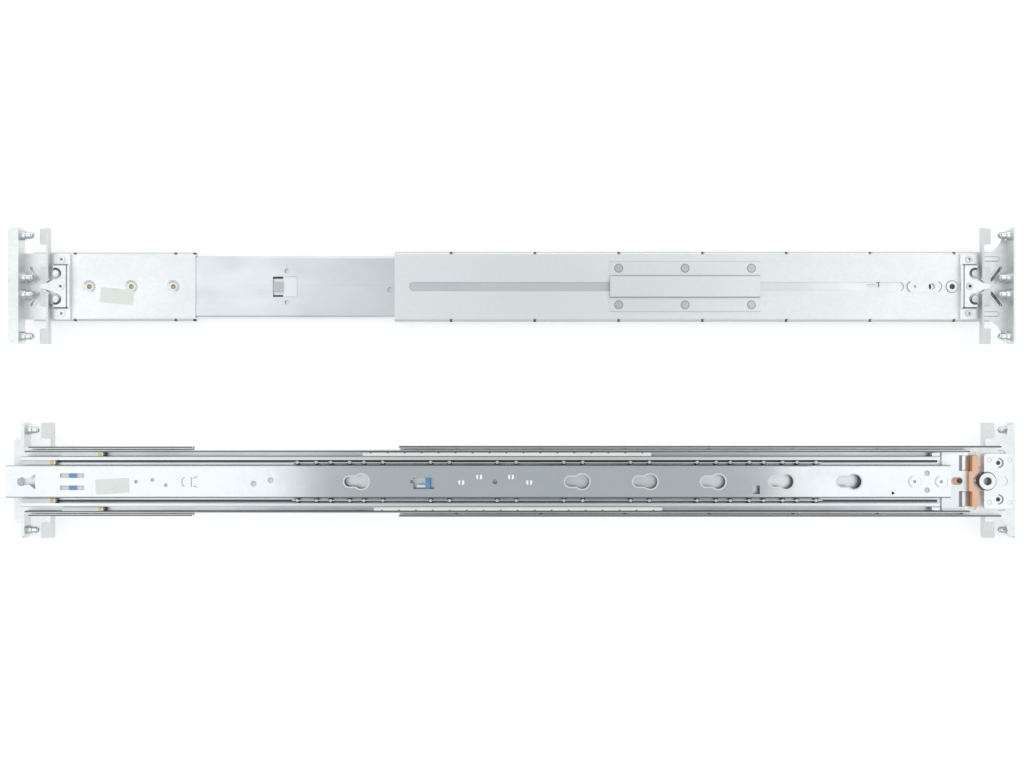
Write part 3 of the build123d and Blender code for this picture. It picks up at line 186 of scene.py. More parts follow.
class Board:
    """The node board of one material or world."""

    def __init__(self, tree: bpy.types.NodeTree) -> None:
        """Take an empty node tree.

        Args:
            tree: The tree to fill; its default nodes are cleared.
        """
        self.tree = tree
        tree.nodes.clear()

    def node(self, kind: str, settings: Dict[str, object], inputs: Dict[Union[int, str], Value],
             output: Union[int, str] = 0) -> Wire:
        """Make one node, set it and wire it.

        Args:
            kind: Blender's type name of the node.
            settings: Attributes to set first.
            inputs: Values or wires for its input sockets, by name or index.
            output: The output socket to return.

        Returns:
            The chosen output as a Wire.
        """
        made = self.tree.nodes.new(kind)
        for name, value in settings.items():
            setattr(made, name, value)
        for name, value in inputs.items():
            socket = made.inputs[name]
            if isinstance(value, Wire):
                self.tree.links.new(value.socket, socket)
            elif isinstance(value, (tuple, list)) and socket.type == "RGBA":
                socket.default_value = (*value[:3], 1.0)
            else:
                socket.default_value = value
        return Wire(self, made.outputs[output] if len(made.outputs) else None)

    def place(self, scale: Sequence[float] = (1.0, 1.0, 1.0)) -> Wire:
        """Return Object coordinates stretched by scale."""
        at = self.node("ShaderNodeTexCoord", {}, {}, "Object")
        return self.node("ShaderNodeMapping", {}, {"Vector": at, "Scale": scale})

    def rail_place(self, rear_out: float = 0.0) -> RailPlace:
        """Return rail coordinates that agree on both rails.

        Args:
            rear_out: How much further back the piece sits on the left rail, in millimetres.

        Returns:
            The place along, across and out of the rail.
        """
        metres = self.place((1.0 / MM, 1.0 / MM, 1.0 / MM))
        x, y, z = (self.node("ShaderNodeSeparateXYZ", {}, {"Vector": metres}, axis) for axis in "XYZ")
        is_right = y > 0.0
        along = x + MIDDLE_X - (1.0 - is_right) * rear_out
        out = is_right * z + (1.0 - is_right) * (EAR_EDGE_Z - z)
        rise = y - (is_right * RAIL_PITCH - RAIL_PITCH / 2)
        return RailPlace(along, abs(rise), out, rise > 0.0)

    def noise(self, at: Wire, scale: float, detail: float = 3.0, roughness: float = 0.5) -> Wire:
        """Return a noise value between 0 and 1 at that place and scale."""
        return self.node("ShaderNodeTexNoise", {}, {"Vector": at, "Scale": scale, "Detail": detail,
                                                   "Roughness": roughness}, "Fac")

    def mix(self, first: Value, second: Value, factor: Value) -> Wire:
        """Return a colour between first and second."""
        return self.node("ShaderNodeMix", {"data_type": "RGBA"}, {0: factor, 6: first, 7: second}, 2)

    def bump(self, height: Wire, strength: float, distance: float) -> Wire:
        """Return a normal disturbed by height."""
        return self.node("ShaderNodeBump", {}, {"Height": height, "Strength": strength, "Distance": distance})

    def seen_or_mirrored(self) -> Wire:
        """Return 1 for rays that come from the camera or a mirror-like surface, and 0 for other rays."""
        rays = self.tree.nodes.new("ShaderNodeLightPath")
        camera, glossy = (Wire(self, rays.outputs[name]) for name in ("Is Camera Ray", "Is Glossy Ray"))
        return (camera + glossy).clamp()


@dataclass(frozen=True)
class ShadeBand:
    """Painted shade that darkens a band, such as one in the gap beside a ball track or on the shaded face of an
    edge.
    """

    depth: float
    across: Range = (0.0, 60.0)
    along: Optional[Range] = None
    out: Optional[Range] = None
    soft: float = 0.4
    fade: float = 1.0
    out_soft: float = 0.3

    def mask(self, place: RailPlace) -> Wire:
        """Return how much painted shade lies at each place."""
        mask = place.across.within(*self.across, self.soft) * self.depth
        if self.along is not None:
            mask = mask * place.along.within(*self.along, self.fade)
        if self.out is not None:
            mask = mask * place.out.within(*self.out, self.out_soft)
        return mask


@dataclass(frozen=True)
class ShadeRing:
    """A dark line of painted shade round a hole, boss or rib, or only the part of it in a stretch of the rail."""

    depth: float
    along: float
    radius: float
    width: float = 0.5
    across: float = 0.0
    length: float = 0.0
    only: Optional[Range] = None
    soft: float = 0.25
    fade: float = 0.5

    def mask(self, place: RailPlace) -> Wire:
        """Return how dark the line is at each place."""
        east, north = place.along - self.along, place.across - self.across
        if self.length:
            half = (-self.length / 2, self.length / 2)
            east = east - east.spread(half, half)
        reach = (east * east + north * north).root()
        inner, outer = self.radius - self.width / 2, self.radius + self.width / 2
        mask = reach.within(inner, outer, self.soft) * self.depth
        return mask if self.only is None else mask * place.along.within(*self.only, self.fade)


@dataclass(frozen=True)
class CoinedKeyholes:
    """The pressed rims round a row of keyholes, painted lighter as a highlight, whose grain is coarser than the
    sheet's.
    """

    first: float
    pitch: float = 50.8
    count: int = 1
    eye: float = 5.4
    neck: float = 3.7
    reach: float = 9.0
    rim: float = 0.9
    soft: float = 0.2

    def mask(self, place: RailPlace) -> Wire:
        """Return 1 on the rims and 0 elsewhere."""
        mask = 0.0
        for number in range(self.count):
            east = place.along - (self.first + number * self.pitch)
            rest = east - east.spread((-self.reach, 0.0), (-self.reach, 0.0))
            to_eye = (east * east + place.across * place.across).root() - self.eye
            to_neck = (rest * rest + place.across * place.across).root() - self.neck
            nearest = place.across.board.node("ShaderNodeMath", {"operation": "MINIMUM"}, {0: to_eye, 1: to_neck})
            mask = nearest.within(-self.soft, self.rim, self.soft) + mask
        return mask


@dataclass(frozen=True)
class Finish:
    """A surface finish; each kind writes its own shader."""

    name: str

    def shader(self, board: Board) -> Wire:
        """Return the finish's surface shader."""
        raise NotImplementedError

    def material(self) -> bpy.types.Material:
        """Return the Blender material, made once."""
        made = bpy.data.materials.get(self.name)
        if made is not None:
            return made
        made = bpy.data.materials.new(self.name)
        made.use_nodes = True
        board = Board(made.node_tree)
        board.node("ShaderNodeOutputMaterial", {}, {"Surface": self.shader(board)})
        return made


@dataclass(frozen=True)
class ZincSheet(Finish):
    """Zinc-plated sheet steel with faint crystals, rolling streaks along the rail, cloudy patches, painted shade and
    painted highlights on keyhole rims.
    """

    bright: Colour = (0.88, 0.885, 0.89)
    dull: Colour = (0.7, 0.725, 0.745)
    painted_shade_colour: Colour = (0.035, 0.04, 0.038)
    roughness: float = 0.3
    metallic: float = 1.0
    crystal: float = 0.004
    crystals: float = 0.15
    crystal_roughness: float = 0.13
    streaks: float = 0.3
    streak_scale: Tuple[float, float, float] = (2.5, 260.0, 260.0)
    patches: float = 0.3
    patch_scale: float = 34.0
    patch_roughness: float = 0.06
    grain: float = 0.04
    grain_scale: float = 700.0
    shade_roughness: float = 0.12
    rim_roughness: float = 0.4
    rear_out: float = 0.0
    marks: Tuple[Union[ShadeBand, ShadeRing], ...] = ()
    coined: Tuple[CoinedKeyholes, ...] = ()

    def shader(self, board: Board) -> Wire:
        """Return a metal whose tone and roughness drift over the sheet."""
        cells = board.node("ShaderNodeTexVoronoi", {"feature": "F1"},
                           {"Vector": board.place(), "Scale": 1.0 / self.crystal}, "Color")
        crystal = board.node("ShaderNodeSeparateColor", {}, {"Color": cells}, 0)
        streak = board.noise(board.place(self.streak_scale), 1.0, 4.0, 0.6)
        patch = board.noise(board.place((0.5, 1.0, 1.0)), self.patch_scale, 2.0, 0.5).spread((0.3, 0.7), (0.0, 1.0))
        worn = (crystal * self.crystals + streak * self.streaks + patch * self.patches).clamp()
        colour = board.mix(self.bright, self.dull, worn)
        rough = self.roughness + (patch - 0.5) * self.patch_roughness
        rough = rough + (crystal - 0.5) * (self.crystal_roughness * self.crystals)
        # painted shade: the marks darken the sheet's colour in gaps, on shaded edge faces and round holes
        if self.marks:
            place = board.rail_place(self.rear_out)
            shade_mask = sum((mark.mask(place) for mark in self.marks), 0.0).clamp()
            colour = board.mix(colour, self.painted_shade_colour, shade_mask)
            rough = rough + shade_mask * self.shade_roughness
        # painted highlight: the keyhole rims are painted in the sheet's bright tone
        if self.coined:
            place = board.rail_place(self.rear_out)
            rims = sum((row.mask(place) for row in self.coined), 0.0).clamp()
            colour = board.mix(colour, self.bright, rims)
            rough = rough + rims * self.rim_roughness
        lines = board.noise(board.place((0.3, 1.0, 1.0)), self.grain_scale, 2.0)
        normal = board.bump(lines, self.grain, BUMP_HEIGHT)
        return board.node("ShaderNodeBsdfPrincipled", {}, {"Base Color": colour, "Metallic": self.metallic,
                                                           "Roughness": rough, "Normal": normal})


@dataclass(frozen=True)
class TurnedSteel(Finish):
    """Turned, drawn or pressed steel: studs, rivets, balls and springs."""

    tone: Colour = (0.83, 0.84, 0.85)
    shade: Colour = (0.6, 0.62, 0.65)
    roughness: float = 0.2
    mark_scale: float = 420.0
    mark_shade: float = 0.6
    mark_roughness: float = 0.12

    def shader(self, board: Board) -> Wire:
        """Return a bright metal with light handling marks."""
        marks = board.noise(board.place(), self.mark_scale, 4.0, 0.65).spread((0.4, 0.7), (0.0, 1.0))
        return board.node("ShaderNodeBsdfPrincipled", {},
                          {"Base Color": board.mix(self.tone, self.shade, marks * self.mark_shade), "Metallic": 1.0,
                           "Roughness": self.roughness + marks * self.mark_roughness})


@dataclass(frozen=True)
class OiledStrip(Finish):
    """Retainer strip: dark with oil at its sides, with painted light on its web and a painted highlight along the
    row of balls.
    """

    tone: Colour = (0.52, 0.525, 0.515)
    shade: Colour = (0.3, 0.305, 0.3)
    painted_light_colour: Colour = (0.86, 0.87, 0.87)
    line: Range = (13.55, 14.15)
    line_soft: float = 0.25
    web: Range = (-1.0, 11.0)
    web_soft: float = 0.5
    oil_scale: float = 240.0
    roughness: float = 0.36
    painted_light_roughness: float = 0.06

    def shader(self, board: Board) -> Wire:
        """Return a dark metal with painted light on its web and a painted highlight along the balls' row."""
        patch = board.noise(board.place((0.3, 1.0, 1.0)), self.oil_scale, 4.0, 0.6).spread((0.35, 0.7), (0.0, 1.0))
        across = board.rail_place().across
        # painted light: the web and the line along the balls are painted pale
        painted_light = (across.within(*self.line, self.line_soft) + across.within(*self.web, self.web_soft)).clamp()
        colour = board.mix(board.mix(self.tone, self.shade, patch), self.painted_light_colour, painted_light)
        return board.node("ShaderNodeBsdfPrincipled", {},
                          {"Base Color": colour, "Metallic": 1.0,
                           "Roughness": self.roughness - painted_light * self.painted_light_roughness})


@dataclass(frozen=True)
class Plastic(Finish):
    """What the moulded finishes share: a slow drift of shade and a fine matt grain."""

    drift_scale: float = 90.0
    grain_scale: float = 2600.0
    grain: float = 0.12

    def drift(self, board: Board) -> Wire:
        """Return how far the shade has drifted at each place, from 0 to 1."""
        return board.noise(board.place(), self.drift_scale, 4.0).spread((0.3, 0.7), (0.0, 1.0))

    def moulded(self, board: Board, colour: Wire, roughness: float) -> Wire:
        """Return a dielectric of that colour with the grain."""
        grain = board.noise(board.place(), self.grain_scale, 2.0)
        return board.node("ShaderNodeBsdfPrincipled", {},
                          {"Base Color": colour, "Roughness": roughness + (grain - 0.5) * self.grain,
                           "Normal": board.bump(grain, self.grain, BUMP_HEIGHT)})


@dataclass(frozen=True)
class MouldedPlastic(Plastic):
    """Moulded plastic with a second colour on parts of it."""

    tone: Colour = (0.8, 0.8, 0.8)
    shade: Colour = (0.7, 0.7, 0.7)
    second: Colour = (0.8, 0.8, 0.8)
    patches: Tuple[Range, ...] = ()
    soft: float = 0.4
    roughness: float = 0.45

    def shader(self, board: Board) -> Wire:
        """Return a dielectric whose colour drifts a little."""
        colour = board.mix(self.tone, self.shade, self.drift(board))
        if self.patches:
            along = board.rail_place().along
            mask = sum((along.within(*patch, self.soft) for patch in self.patches), 0.0).clamp()
            colour = board.mix(colour, self.second, mask)
        return self.moulded(board, colour, self.roughness)


@dataclass(frozen=True)
class BallCage(Plastic):
    """Ivory ball cage whose pockets are stained by the grease of the balls."""

    tone: Colour = (0.96, 0.94, 0.86)
    shade: Colour = (0.91, 0.89, 0.8)
    stain: Colour = (0.3, 0.19, 0.08)
    upper_first: float = 262.9
    lower_first: float = 271.3
    pitch: float = 12.7
    pocket: Range = (21.1, 22.9)
    pocket_soft: float = 0.3
    roughness: float = 0.45

    def shader(self, board: Board) -> Wire:
        """Return a moulded plastic with a brown spot beside each ball."""
        place = board.rail_place()
        first = place.upper * (self.upper_first - self.lower_first) + self.lower_first
        nearest = board.node("ShaderNodeMath", {"operation": "PINGPONG"},
                             {0: place.along - first, 1: self.pitch / 2})
        spots = nearest.spread((0.4, 1.0), (0.85, 0.0)) * place.across.within(*self.pocket, self.pocket_soft)
        colour = board.mix(board.mix(self.tone, self.shade, self.drift(board)), self.stain, spots)
        return self.moulded(board, colour, self.roughness)


@dataclass(frozen=True)
class LabelPaper(Finish):
    """Bare white label stock, a little grubby at random."""

    tone: Colour = (0.9, 0.9, 0.85)
    grubby: Colour = (0.78, 0.78, 0.73)
    roughness: float = 0.6
    fibre: float = 0.08
    fibre_height: float = 0.00005

    def shader(self, board: Board) -> Wire:
        """Return matt paper with faint smudges and fibres."""
        smudge = board.noise(board.place(), 160.0, 5.0, 0.6).spread((0.5, 0.75), (0.0, 0.8))
        fibre = board.noise(board.place(), 3200.0, 2.0)
        return board.node("ShaderNodeBsdfPrincipled", {},
                          {"Base Color": board.mix(self.tone, self.grubby, smudge), "Roughness": self.roughness,
                           "Normal": board.bump(fibre, self.fibre, self.fibre_height)})


@dataclass(frozen=True)
class FloorPaint(Finish):
    """White studio floor that keeps the soft shadow of the rails."""

    tone: Colour = (0.55, 0.55, 0.55)
    lift: float = 0.62

    def shader(self, board: Board) -> Wire:
        """Return a diffuse floor that the camera and mirrors see brighter than it is lit."""
        paint = board.node("ShaderNodeBsdfDiffuse", {}, {"Color": self.tone})
        glow = board.node("ShaderNodeEmission", {}, {"Color": (1.0, 1.0, 1.0),
                                                     "Strength": board.seen_or_mirrored() * self.lift})
        return board.node("ShaderNodeAddShader", {}, {0: paint, 1: glow})


def dart_shadows(places: Sequence[float]) -> Tuple[ShadeBand, ...]:
    """Return the dark nicks where darts stiffen a bracket's bends, at those places along the rail."""
    return tuple(ShadeBand(0.75, (24.6, 27.0), along=(place - 0.8, place + 0.8), out=(9.0, 15.0), fade=0.4)
                 for place in places)


class Finishes:
    """The finishes that the pair of rails uses."""

    # painted shade: dark bands in the gaps beside the ball tracks, shading across the curled end tab and a shadow
    # inside a hole
    OUTER = ZincSheet("zinc_outer_member", bright=(0.93, 0.935, 0.93), dull=(0.68, 0.71, 0.74), roughness=0.33,
                      streaks=0.25, crystals=0.05, patches=0.6, grain=0.01,
                      marks=(ShadeBand(0.8, (21.9, 22.9), out=(0.0, 6.0)), ShadeBand(0.35, (18.6, 19.6), out=(0.0, 8.0)),
                             ShadeBand(0.75, (7.8, 19.2), along=(705.2, 706.8), out=(0.0, 10.5), fade=0.8),
                             ShadeBand(0.3, (8.0, 18.9), along=(710.0, 714.5), out=(0.0, 12.0), fade=1.2),
                             ShadeRing(0.95, 683.2, 2.5, width=1.5, only=(684.4, 688.0))))
    # painted shade: dark bands in the gaps beside the ball tracks
    MIDDLE = ZincSheet("zinc_middle_member", roughness=0.33, streaks=0.35, crystals=0.05, grain=0.01,
                       marks=(ShadeBand(0.9, (14.15, 15.6), out=(0.0, 9.0)), ShadeBand(0.4, (18.4, 19.2), out=(0.0, 9.0))))
    # painted shade: the leaf is darker across its width from 170 to 195 mm along the rail
    HOLD_LEAF = ZincSheet("zinc_hold_leaf", bright=BRIGHT_ZINC, dull=(0.88, 0.885, 0.89), roughness=0.46,
                          marks=(ShadeBand(0.35, (-1.0, 12.0), along=(170.0, 195.2), fade=0.5),))
    # painted shade: a dark band along its edges, deeper in the middle stretch, and shadowed crescents in two coined
    # rings
    INNER = ZincSheet("zinc_inner_member", bright=(0.81, 0.815, 0.82), dull=(0.7, 0.72, 0.74), roughness=0.14,
                      streaks=0.2, crystals=0.12, patches=0.4, grain=0.01,
                      marks=(ShadeBand(0.35, (11.5, 12.6), along=(210.0, 588.0), fade=6.0), ShadeBand(0.2, (11.5, 12.6)),
                             ShadeRing(0.22, 669.2, 4.2, width=1.2, only=(660.0, 667.6)),
                             ShadeRing(0.22, 689.1, 4.2, width=1.2, only=(680.0, 687.5))),
                      coined=(CoinedKeyholes(256.0), CoinedKeyholes(421.0, count=5)))
    # painted shade: the shaded outer faces of the walls, the gaps at the rear corners and the darts
    BRACKET = ZincSheet("zinc_bracket", bright=BRIGHT_ZINC, dull=DULL_ZINC, roughness=0.46,
                        crystal=FINE_CRYSTAL, crystals=0.3, streaks=0.1,
                        marks=(ShadeBand(0.85, (25.2, 26.6), out=(0.0, 5.0)), ShadeBand(0.3, (25.4, 26.6), out=(11.0, 15.0)),
                               ShadeBand(0.85, (24.6, 27.0), along=(127.2, 129.0), out=(9.0, 15.0), fade=0.4),
                               *dart_shadows(FRONT_DARTS)))
    # painted shade: the shaded outer faces of the walls, dark outlines round a bore and a slot, a contact shadow
    # along the bridge plate and the darts
    REAR_BRACKET = ZincSheet("zinc_rear_bracket", bright=BRIGHT_ZINC, dull=DULL_ZINC,
                             roughness=0.46, crystal=FINE_CRYSTAL, crystals=0.3, streaks=0.1, rear_out=LEFT_REAR_OUT,
                             marks=(ShadeBand(0.85, (25.5, 27.0), out=(0.0, 5.0)),
                                    ShadeBand(0.3, (25.9, 27.0), out=(11.0, 15.0)), ShadeRing(0.5, 701.8, 4.5),
                                    ShadeRing(0.7, 671.4, 3.8, only=(666.0, 670.0)),
                                    ShadeRing(0.6, 690.0, 3.8, only=(691.6, 695.0)),
                                    ShadeBand(0.25, (18.65, 18.95), along=(442.8, 556.3), out=(12.0, 15.0)),
                                    *dart_shadows(REAR_DARTS)))
    # painted shade: a dark band and dark rings round the rivets
    BRIDGE = ZincSheet("zinc_bridge", bright=BRIGHT_ZINC, dull=DULL_ZINC, roughness=0.42,
                       crystal=FINE_CRYSTAL, crystals=0.3, streaks=0.1, rear_out=LEFT_REAR_OUT,
                       marks=(ShadeBand(0.4, (7.8, 8.5)), ShadeRing(0.6, 449.35, 3.0, across=13.85),
                              ShadeRing(0.6, 499.55, 3.0, across=13.85), ShadeRing(0.6, 549.75, 3.0, across=13.85)))
    # painted shade: dark rings round the boss, its hole and the recesses, with a crescent shadow in one recess
    PLATFORM = ZincSheet("zinc_platform", bright=(0.93, 0.935, 0.93), dull=(0.86, 0.865, 0.87), roughness=0.42,
                         crystal=FINE_CRYSTAL, rear_out=LEFT_REAR_OUT,
                         marks=(ShadeRing(0.75, 721.0, 6.6, width=0.6), ShadeRing(0.5, 721.0, 2.9, width=0.5),
                                ShadeRing(0.5, 729.5, 3.4, width=0.9, across=13.7, only=(729.8, 735.0)),
                                ShadeRing(0.25, 738.1, 1.5, width=0.3, across=15.9),
                                ShadeRing(0.25, 722.8, 1.5, width=0.3, across=15.9)))
    # painted shade: a dark outline round a rib
    EAR = ZincSheet("zinc_ear", bright=(0.88, 0.89, 0.88), dull=(0.76, 0.77, 0.76), roughness=0.44, crystals=0.3,
                    crystal=FINE_CRYSTAL, streaks=0.05, rear_out=LEFT_REAR_OUT,
                    marks=(ShadeRing(0.4, 730.6, 1.7, width=0.4, across=20.8, length=9.3),))
    # painted shade: shadows beside the raised cover's edges and round its window, on both covers
    COVER = ZincSheet("zinc_cover", bright=(0.94, 0.935, 0.93), dull=(0.82, 0.82, 0.81), roughness=0.44,
                      crystals=0.3, crystal=FINE_CRYSTAL, streaks=0.05,
                      marks=(ShadeBand(0.75, (15.9, 16.6), along=(18.0, 33.0), fade=0.5),
                             ShadeBand(0.75, (-1.0, 16.4), along=(32.3, 32.9), fade=0.3),
                             ShadeRing(0.9, 24.3, 3.6, width=1.2, across=9.66)))
    REAR_COVER = ZincSheet("zinc_rear_cover", bright=(0.95, 0.95, 0.94), dull=(0.87, 0.87, 0.86), roughness=0.44,
                           crystals=0.3, crystal=FINE_CRYSTAL, streaks=0.05, rear_out=LEFT_REAR_OUT,
                           marks=(ShadeBand(0.75, (15.9, 16.6), along=(709.1, 724.0), fade=0.5),
                                  ShadeBand(0.75, (-1.0, 16.4), along=(709.2, 709.8), fade=0.3),
                                  ShadeRing(0.9, 717.8, 3.6, width=1.2, across=9.66)))
    # painted reflection: the levers' zinc is painted darker to stand in for the dark surroundings they mirror
    LEVER = ZincSheet("zinc_lever", bright=(0.8, 0.795, 0.785), dull=(0.68, 0.675, 0.67), roughness=0.5,
                      crystal=0.0018, streaks=0.05)
    STUD = TurnedSteel("plated_stud", roughness=0.14)
    RIVET = TurnedSteel("plated_rivet", roughness=0.28)
    BALL = TurnedSteel("polished_ball", tone=(0.86, 0.87, 0.88), shade=(0.7, 0.71, 0.73), roughness=0.08)
    DULL_RIVET = TurnedSteel("dull_rivet", tone=(0.72, 0.73, 0.73), shade=(0.5, 0.51, 0.52), roughness=0.34)
    SPRING = TurnedSteel("spring_steel_leaf", tone=(0.62, 0.64, 0.66), shade=(0.45, 0.46, 0.48), roughness=0.3)
    BRASS = TurnedSteel("aged_brass", tone=(0.55, 0.42, 0.2), shade=(0.3, 0.2, 0.08), roughness=0.32)
    # dark steel for the screws, and painted shade for the keyhole score and the catch gaps
    BLACK_STEEL_AND_SHADE = TurnedSteel("black_steel_and_painted_shade", tone=(0.1, 0.1, 0.11), shade=(0.04, 0.04, 0.045), roughness=0.3)
    RETAINER = OiledStrip("oiled_strip")
    IVORY = BallCage("ivory_cage")
    GREY = MouldedPlastic("grey_guide", tone=(0.84, 0.85, 0.83), shade=(0.77, 0.78, 0.76), second=(0.8, 0.6, 0.2),
                          patches=((59.4, 61.8), (23.4, 25.8)))
    BLUE = MouldedPlastic("blue_slide", tone=(0.84, 0.86, 0.88), shade=(0.76, 0.79, 0.82), second=(0.12, 0.36, 0.66),
                          patches=((37.2, 43.4), (303.9, 307.4)))
    ORANGE = MouldedPlastic("orange_block", tone=(1.0, 0.57, 0.36), shade=(0.98, 0.5, 0.29))
    BACKING = MouldedPlastic("pale_backing", tone=(0.95, 0.95, 0.95), shade=(0.88, 0.88, 0.88), roughness=0.5)
    PAPER = LabelPaper("bare_label")
    FLOOR = FloorPaint("studio_floor")


class Assembly:
    """What every sub-assembly of a rail shares: its frame, dressing and piece making."""

    frame: RailFrame

    def dress(self, names: Sequence[str], finish: Finish, nodes: Dict[str, bpy.types.Object]) -> None:
        """Give CAD nodes of this rail a finish.

        Args:
            names: Node names without the side.
            finish: The finish to put in their material slot.
            nodes: The frame's nodes by name.
        """
        for name in names:
            mesh = nodes[self.frame.node(name)].data
            mesh.materials.clear()
            mesh.materials.append(finish.material())
        LOG.info("%s rail: %s dressed in %s", self.frame.side.value, ", ".join(names), finish.name)

    def piece(self, name: str, shape: bmesh.types.BMesh, finish: Finish, body: str, slot: str) -> bpy.types.Object:
        """Turn a bmesh in rail millimetres into a finished piece that rides on a body.

        Args:
            name: The piece's name, without the side.
            shape: The mesh; it is freed here.
            finish: The finish of the piece.
            body: The CAD body that carries it.
            slot: The record's material slot of the piece; it is not used.

        Returns:
            The new object, at the origin.
        """
        bmesh.ops.remove_doubles(shape, verts=shape.verts, dist=0.001)
        bmesh.ops.transform(shape, matrix=self.frame.matrix(), verts=shape.verts)
        bmesh.ops.recalc_face_normals(shape, faces=shape.faces)
        mesh = bpy.data.meshes.new(self.frame.node(name))
        shape.to_mesh(mesh)
        shape.free()
        mesh.materials.append(finish.material())
        made = bpy.data.objects.new(self.frame.node(name), mesh)
        bpy.context.scene.collection.objects.link(made)
        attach(made, body)
        LOG.info("%s: %d faces", made.name, len(mesh.polygons))
        return made


@dataclass
class Slide(Assembly):
    """The three telescoping members with their retainers, balls and guides."""

    frame: RailFrame

    def build(self, nodes: Dict[str, bpy.types.Object]) -> None:
        """Dress the members and what runs between them."""
        self.dress(("outer_member",), Finishes.OUTER, nodes)
        self.dress(("middle_member",), Finishes.MIDDLE, nodes)
        self.dress(("inner_member",), Finishes.INNER, nodes)
        self.dress(("outer_balls", "inner_balls"), Finishes.BALL, nodes)
        self.dress(("outer_cages",), Finishes.IVORY, nodes)
        self.dress(("inner_retainer",), Finishes.RETAINER, nodes)
        self.dress(("front_guides", "middle_guides"), Finishes.GREY, nodes)
        self.dress(("release_slide",), Finishes.BLUE, nodes)
        self.dress(("hold_latch",), Finishes.HOLD_LEAF, nodes)
        self.dress(("glide_block",), Finishes.ORANGE, nodes)


@dataclass
class LatchEnd(Assembly):
    """An ear with its studs, scissor latch and cover."""

    frame: RailFrame
    end: str

    def build(self, nodes: Dict[str, bpy.types.Object]) -> None:
        """Dress the ear and its latch."""
        self.dress((f"{self.end}_ear",), Finishes.EAR, nodes)
        self.dress((f"{self.end}_cover",), Finishes.COVER if self.end == "front" else Finishes.REAR_COVER, nodes)
        self.dress((f"{self.end}_lever_upper", f"{self.end}_lever_lower"), Finishes.LEVER, nodes)
        self.dress((f"{self.end}_pins",), Finishes.STUD, nodes)
        self.dress((f"{self.end}_spring",), Finishes.SPRING, nodes)


@dataclass
class Brackets(Assembly):
    """The two brackets with their rivets, the bridge plate and the rear platform."""

    frame: RailFrame
    rivet_places: Tuple[float, ...] = (48.3, 80.05, 111.8)
    rivet_bore: float = 3.8
    core_levels: Range = (11.3, 12.3)
    core_gap: float = 0.05
    core_rim: float = 0.55
    core_sink: float = 0.3

    def build(self, nodes: Dict[str, bpy.types.Object]) -> None:
        """Dress the brackets and fill the bracket rivets."""
        self.dress(("front_bracket",), Finishes.BRACKET, nodes)
        self.dress(("rear_bracket",), Finishes.REAR_BRACKET, nodes)
        self.dress(("bridge_plate",), Finishes.BRIDGE, nodes)
        self.dress(("rear_platform",), Finishes.PLATFORM, nodes)
        self.dress(("fixed_rivets",), Finishes.RIVET, nodes)
        self.dress(("rear_rivets",), Finishes.DULL_RIVET, nodes)
        self.rivet_cores()

    def rivet_cores(self) -> None:
        """Make the brassy pin that is left inside each hollow bracket rivet."""
        shape = bmesh.new()
        low, high = self.core_levels
        radius = self.rivet_bore / 2 - self.core_gap
        for place in self.rivet_places:
            at = Matrix.Translation((place, 0.0, (low + high) / 2))
            made = bmesh.ops.create_cone(shape, cap_ends=True, segments=24, radius1=radius, radius2=radius,
                                         depth=high - low, matrix=at)
            top = max((face for vert in made["verts"] for face in vert.link_faces),
                      key=lambda face: face.calc_center_median().z)
            bmesh.ops.inset_region(shape, faces=[top], thickness=self.core_rim, depth=-self.core_sink)
        self.piece("rivet_cores", shape, Finishes.BRASS, "fixed_rails", "zinc_steel")


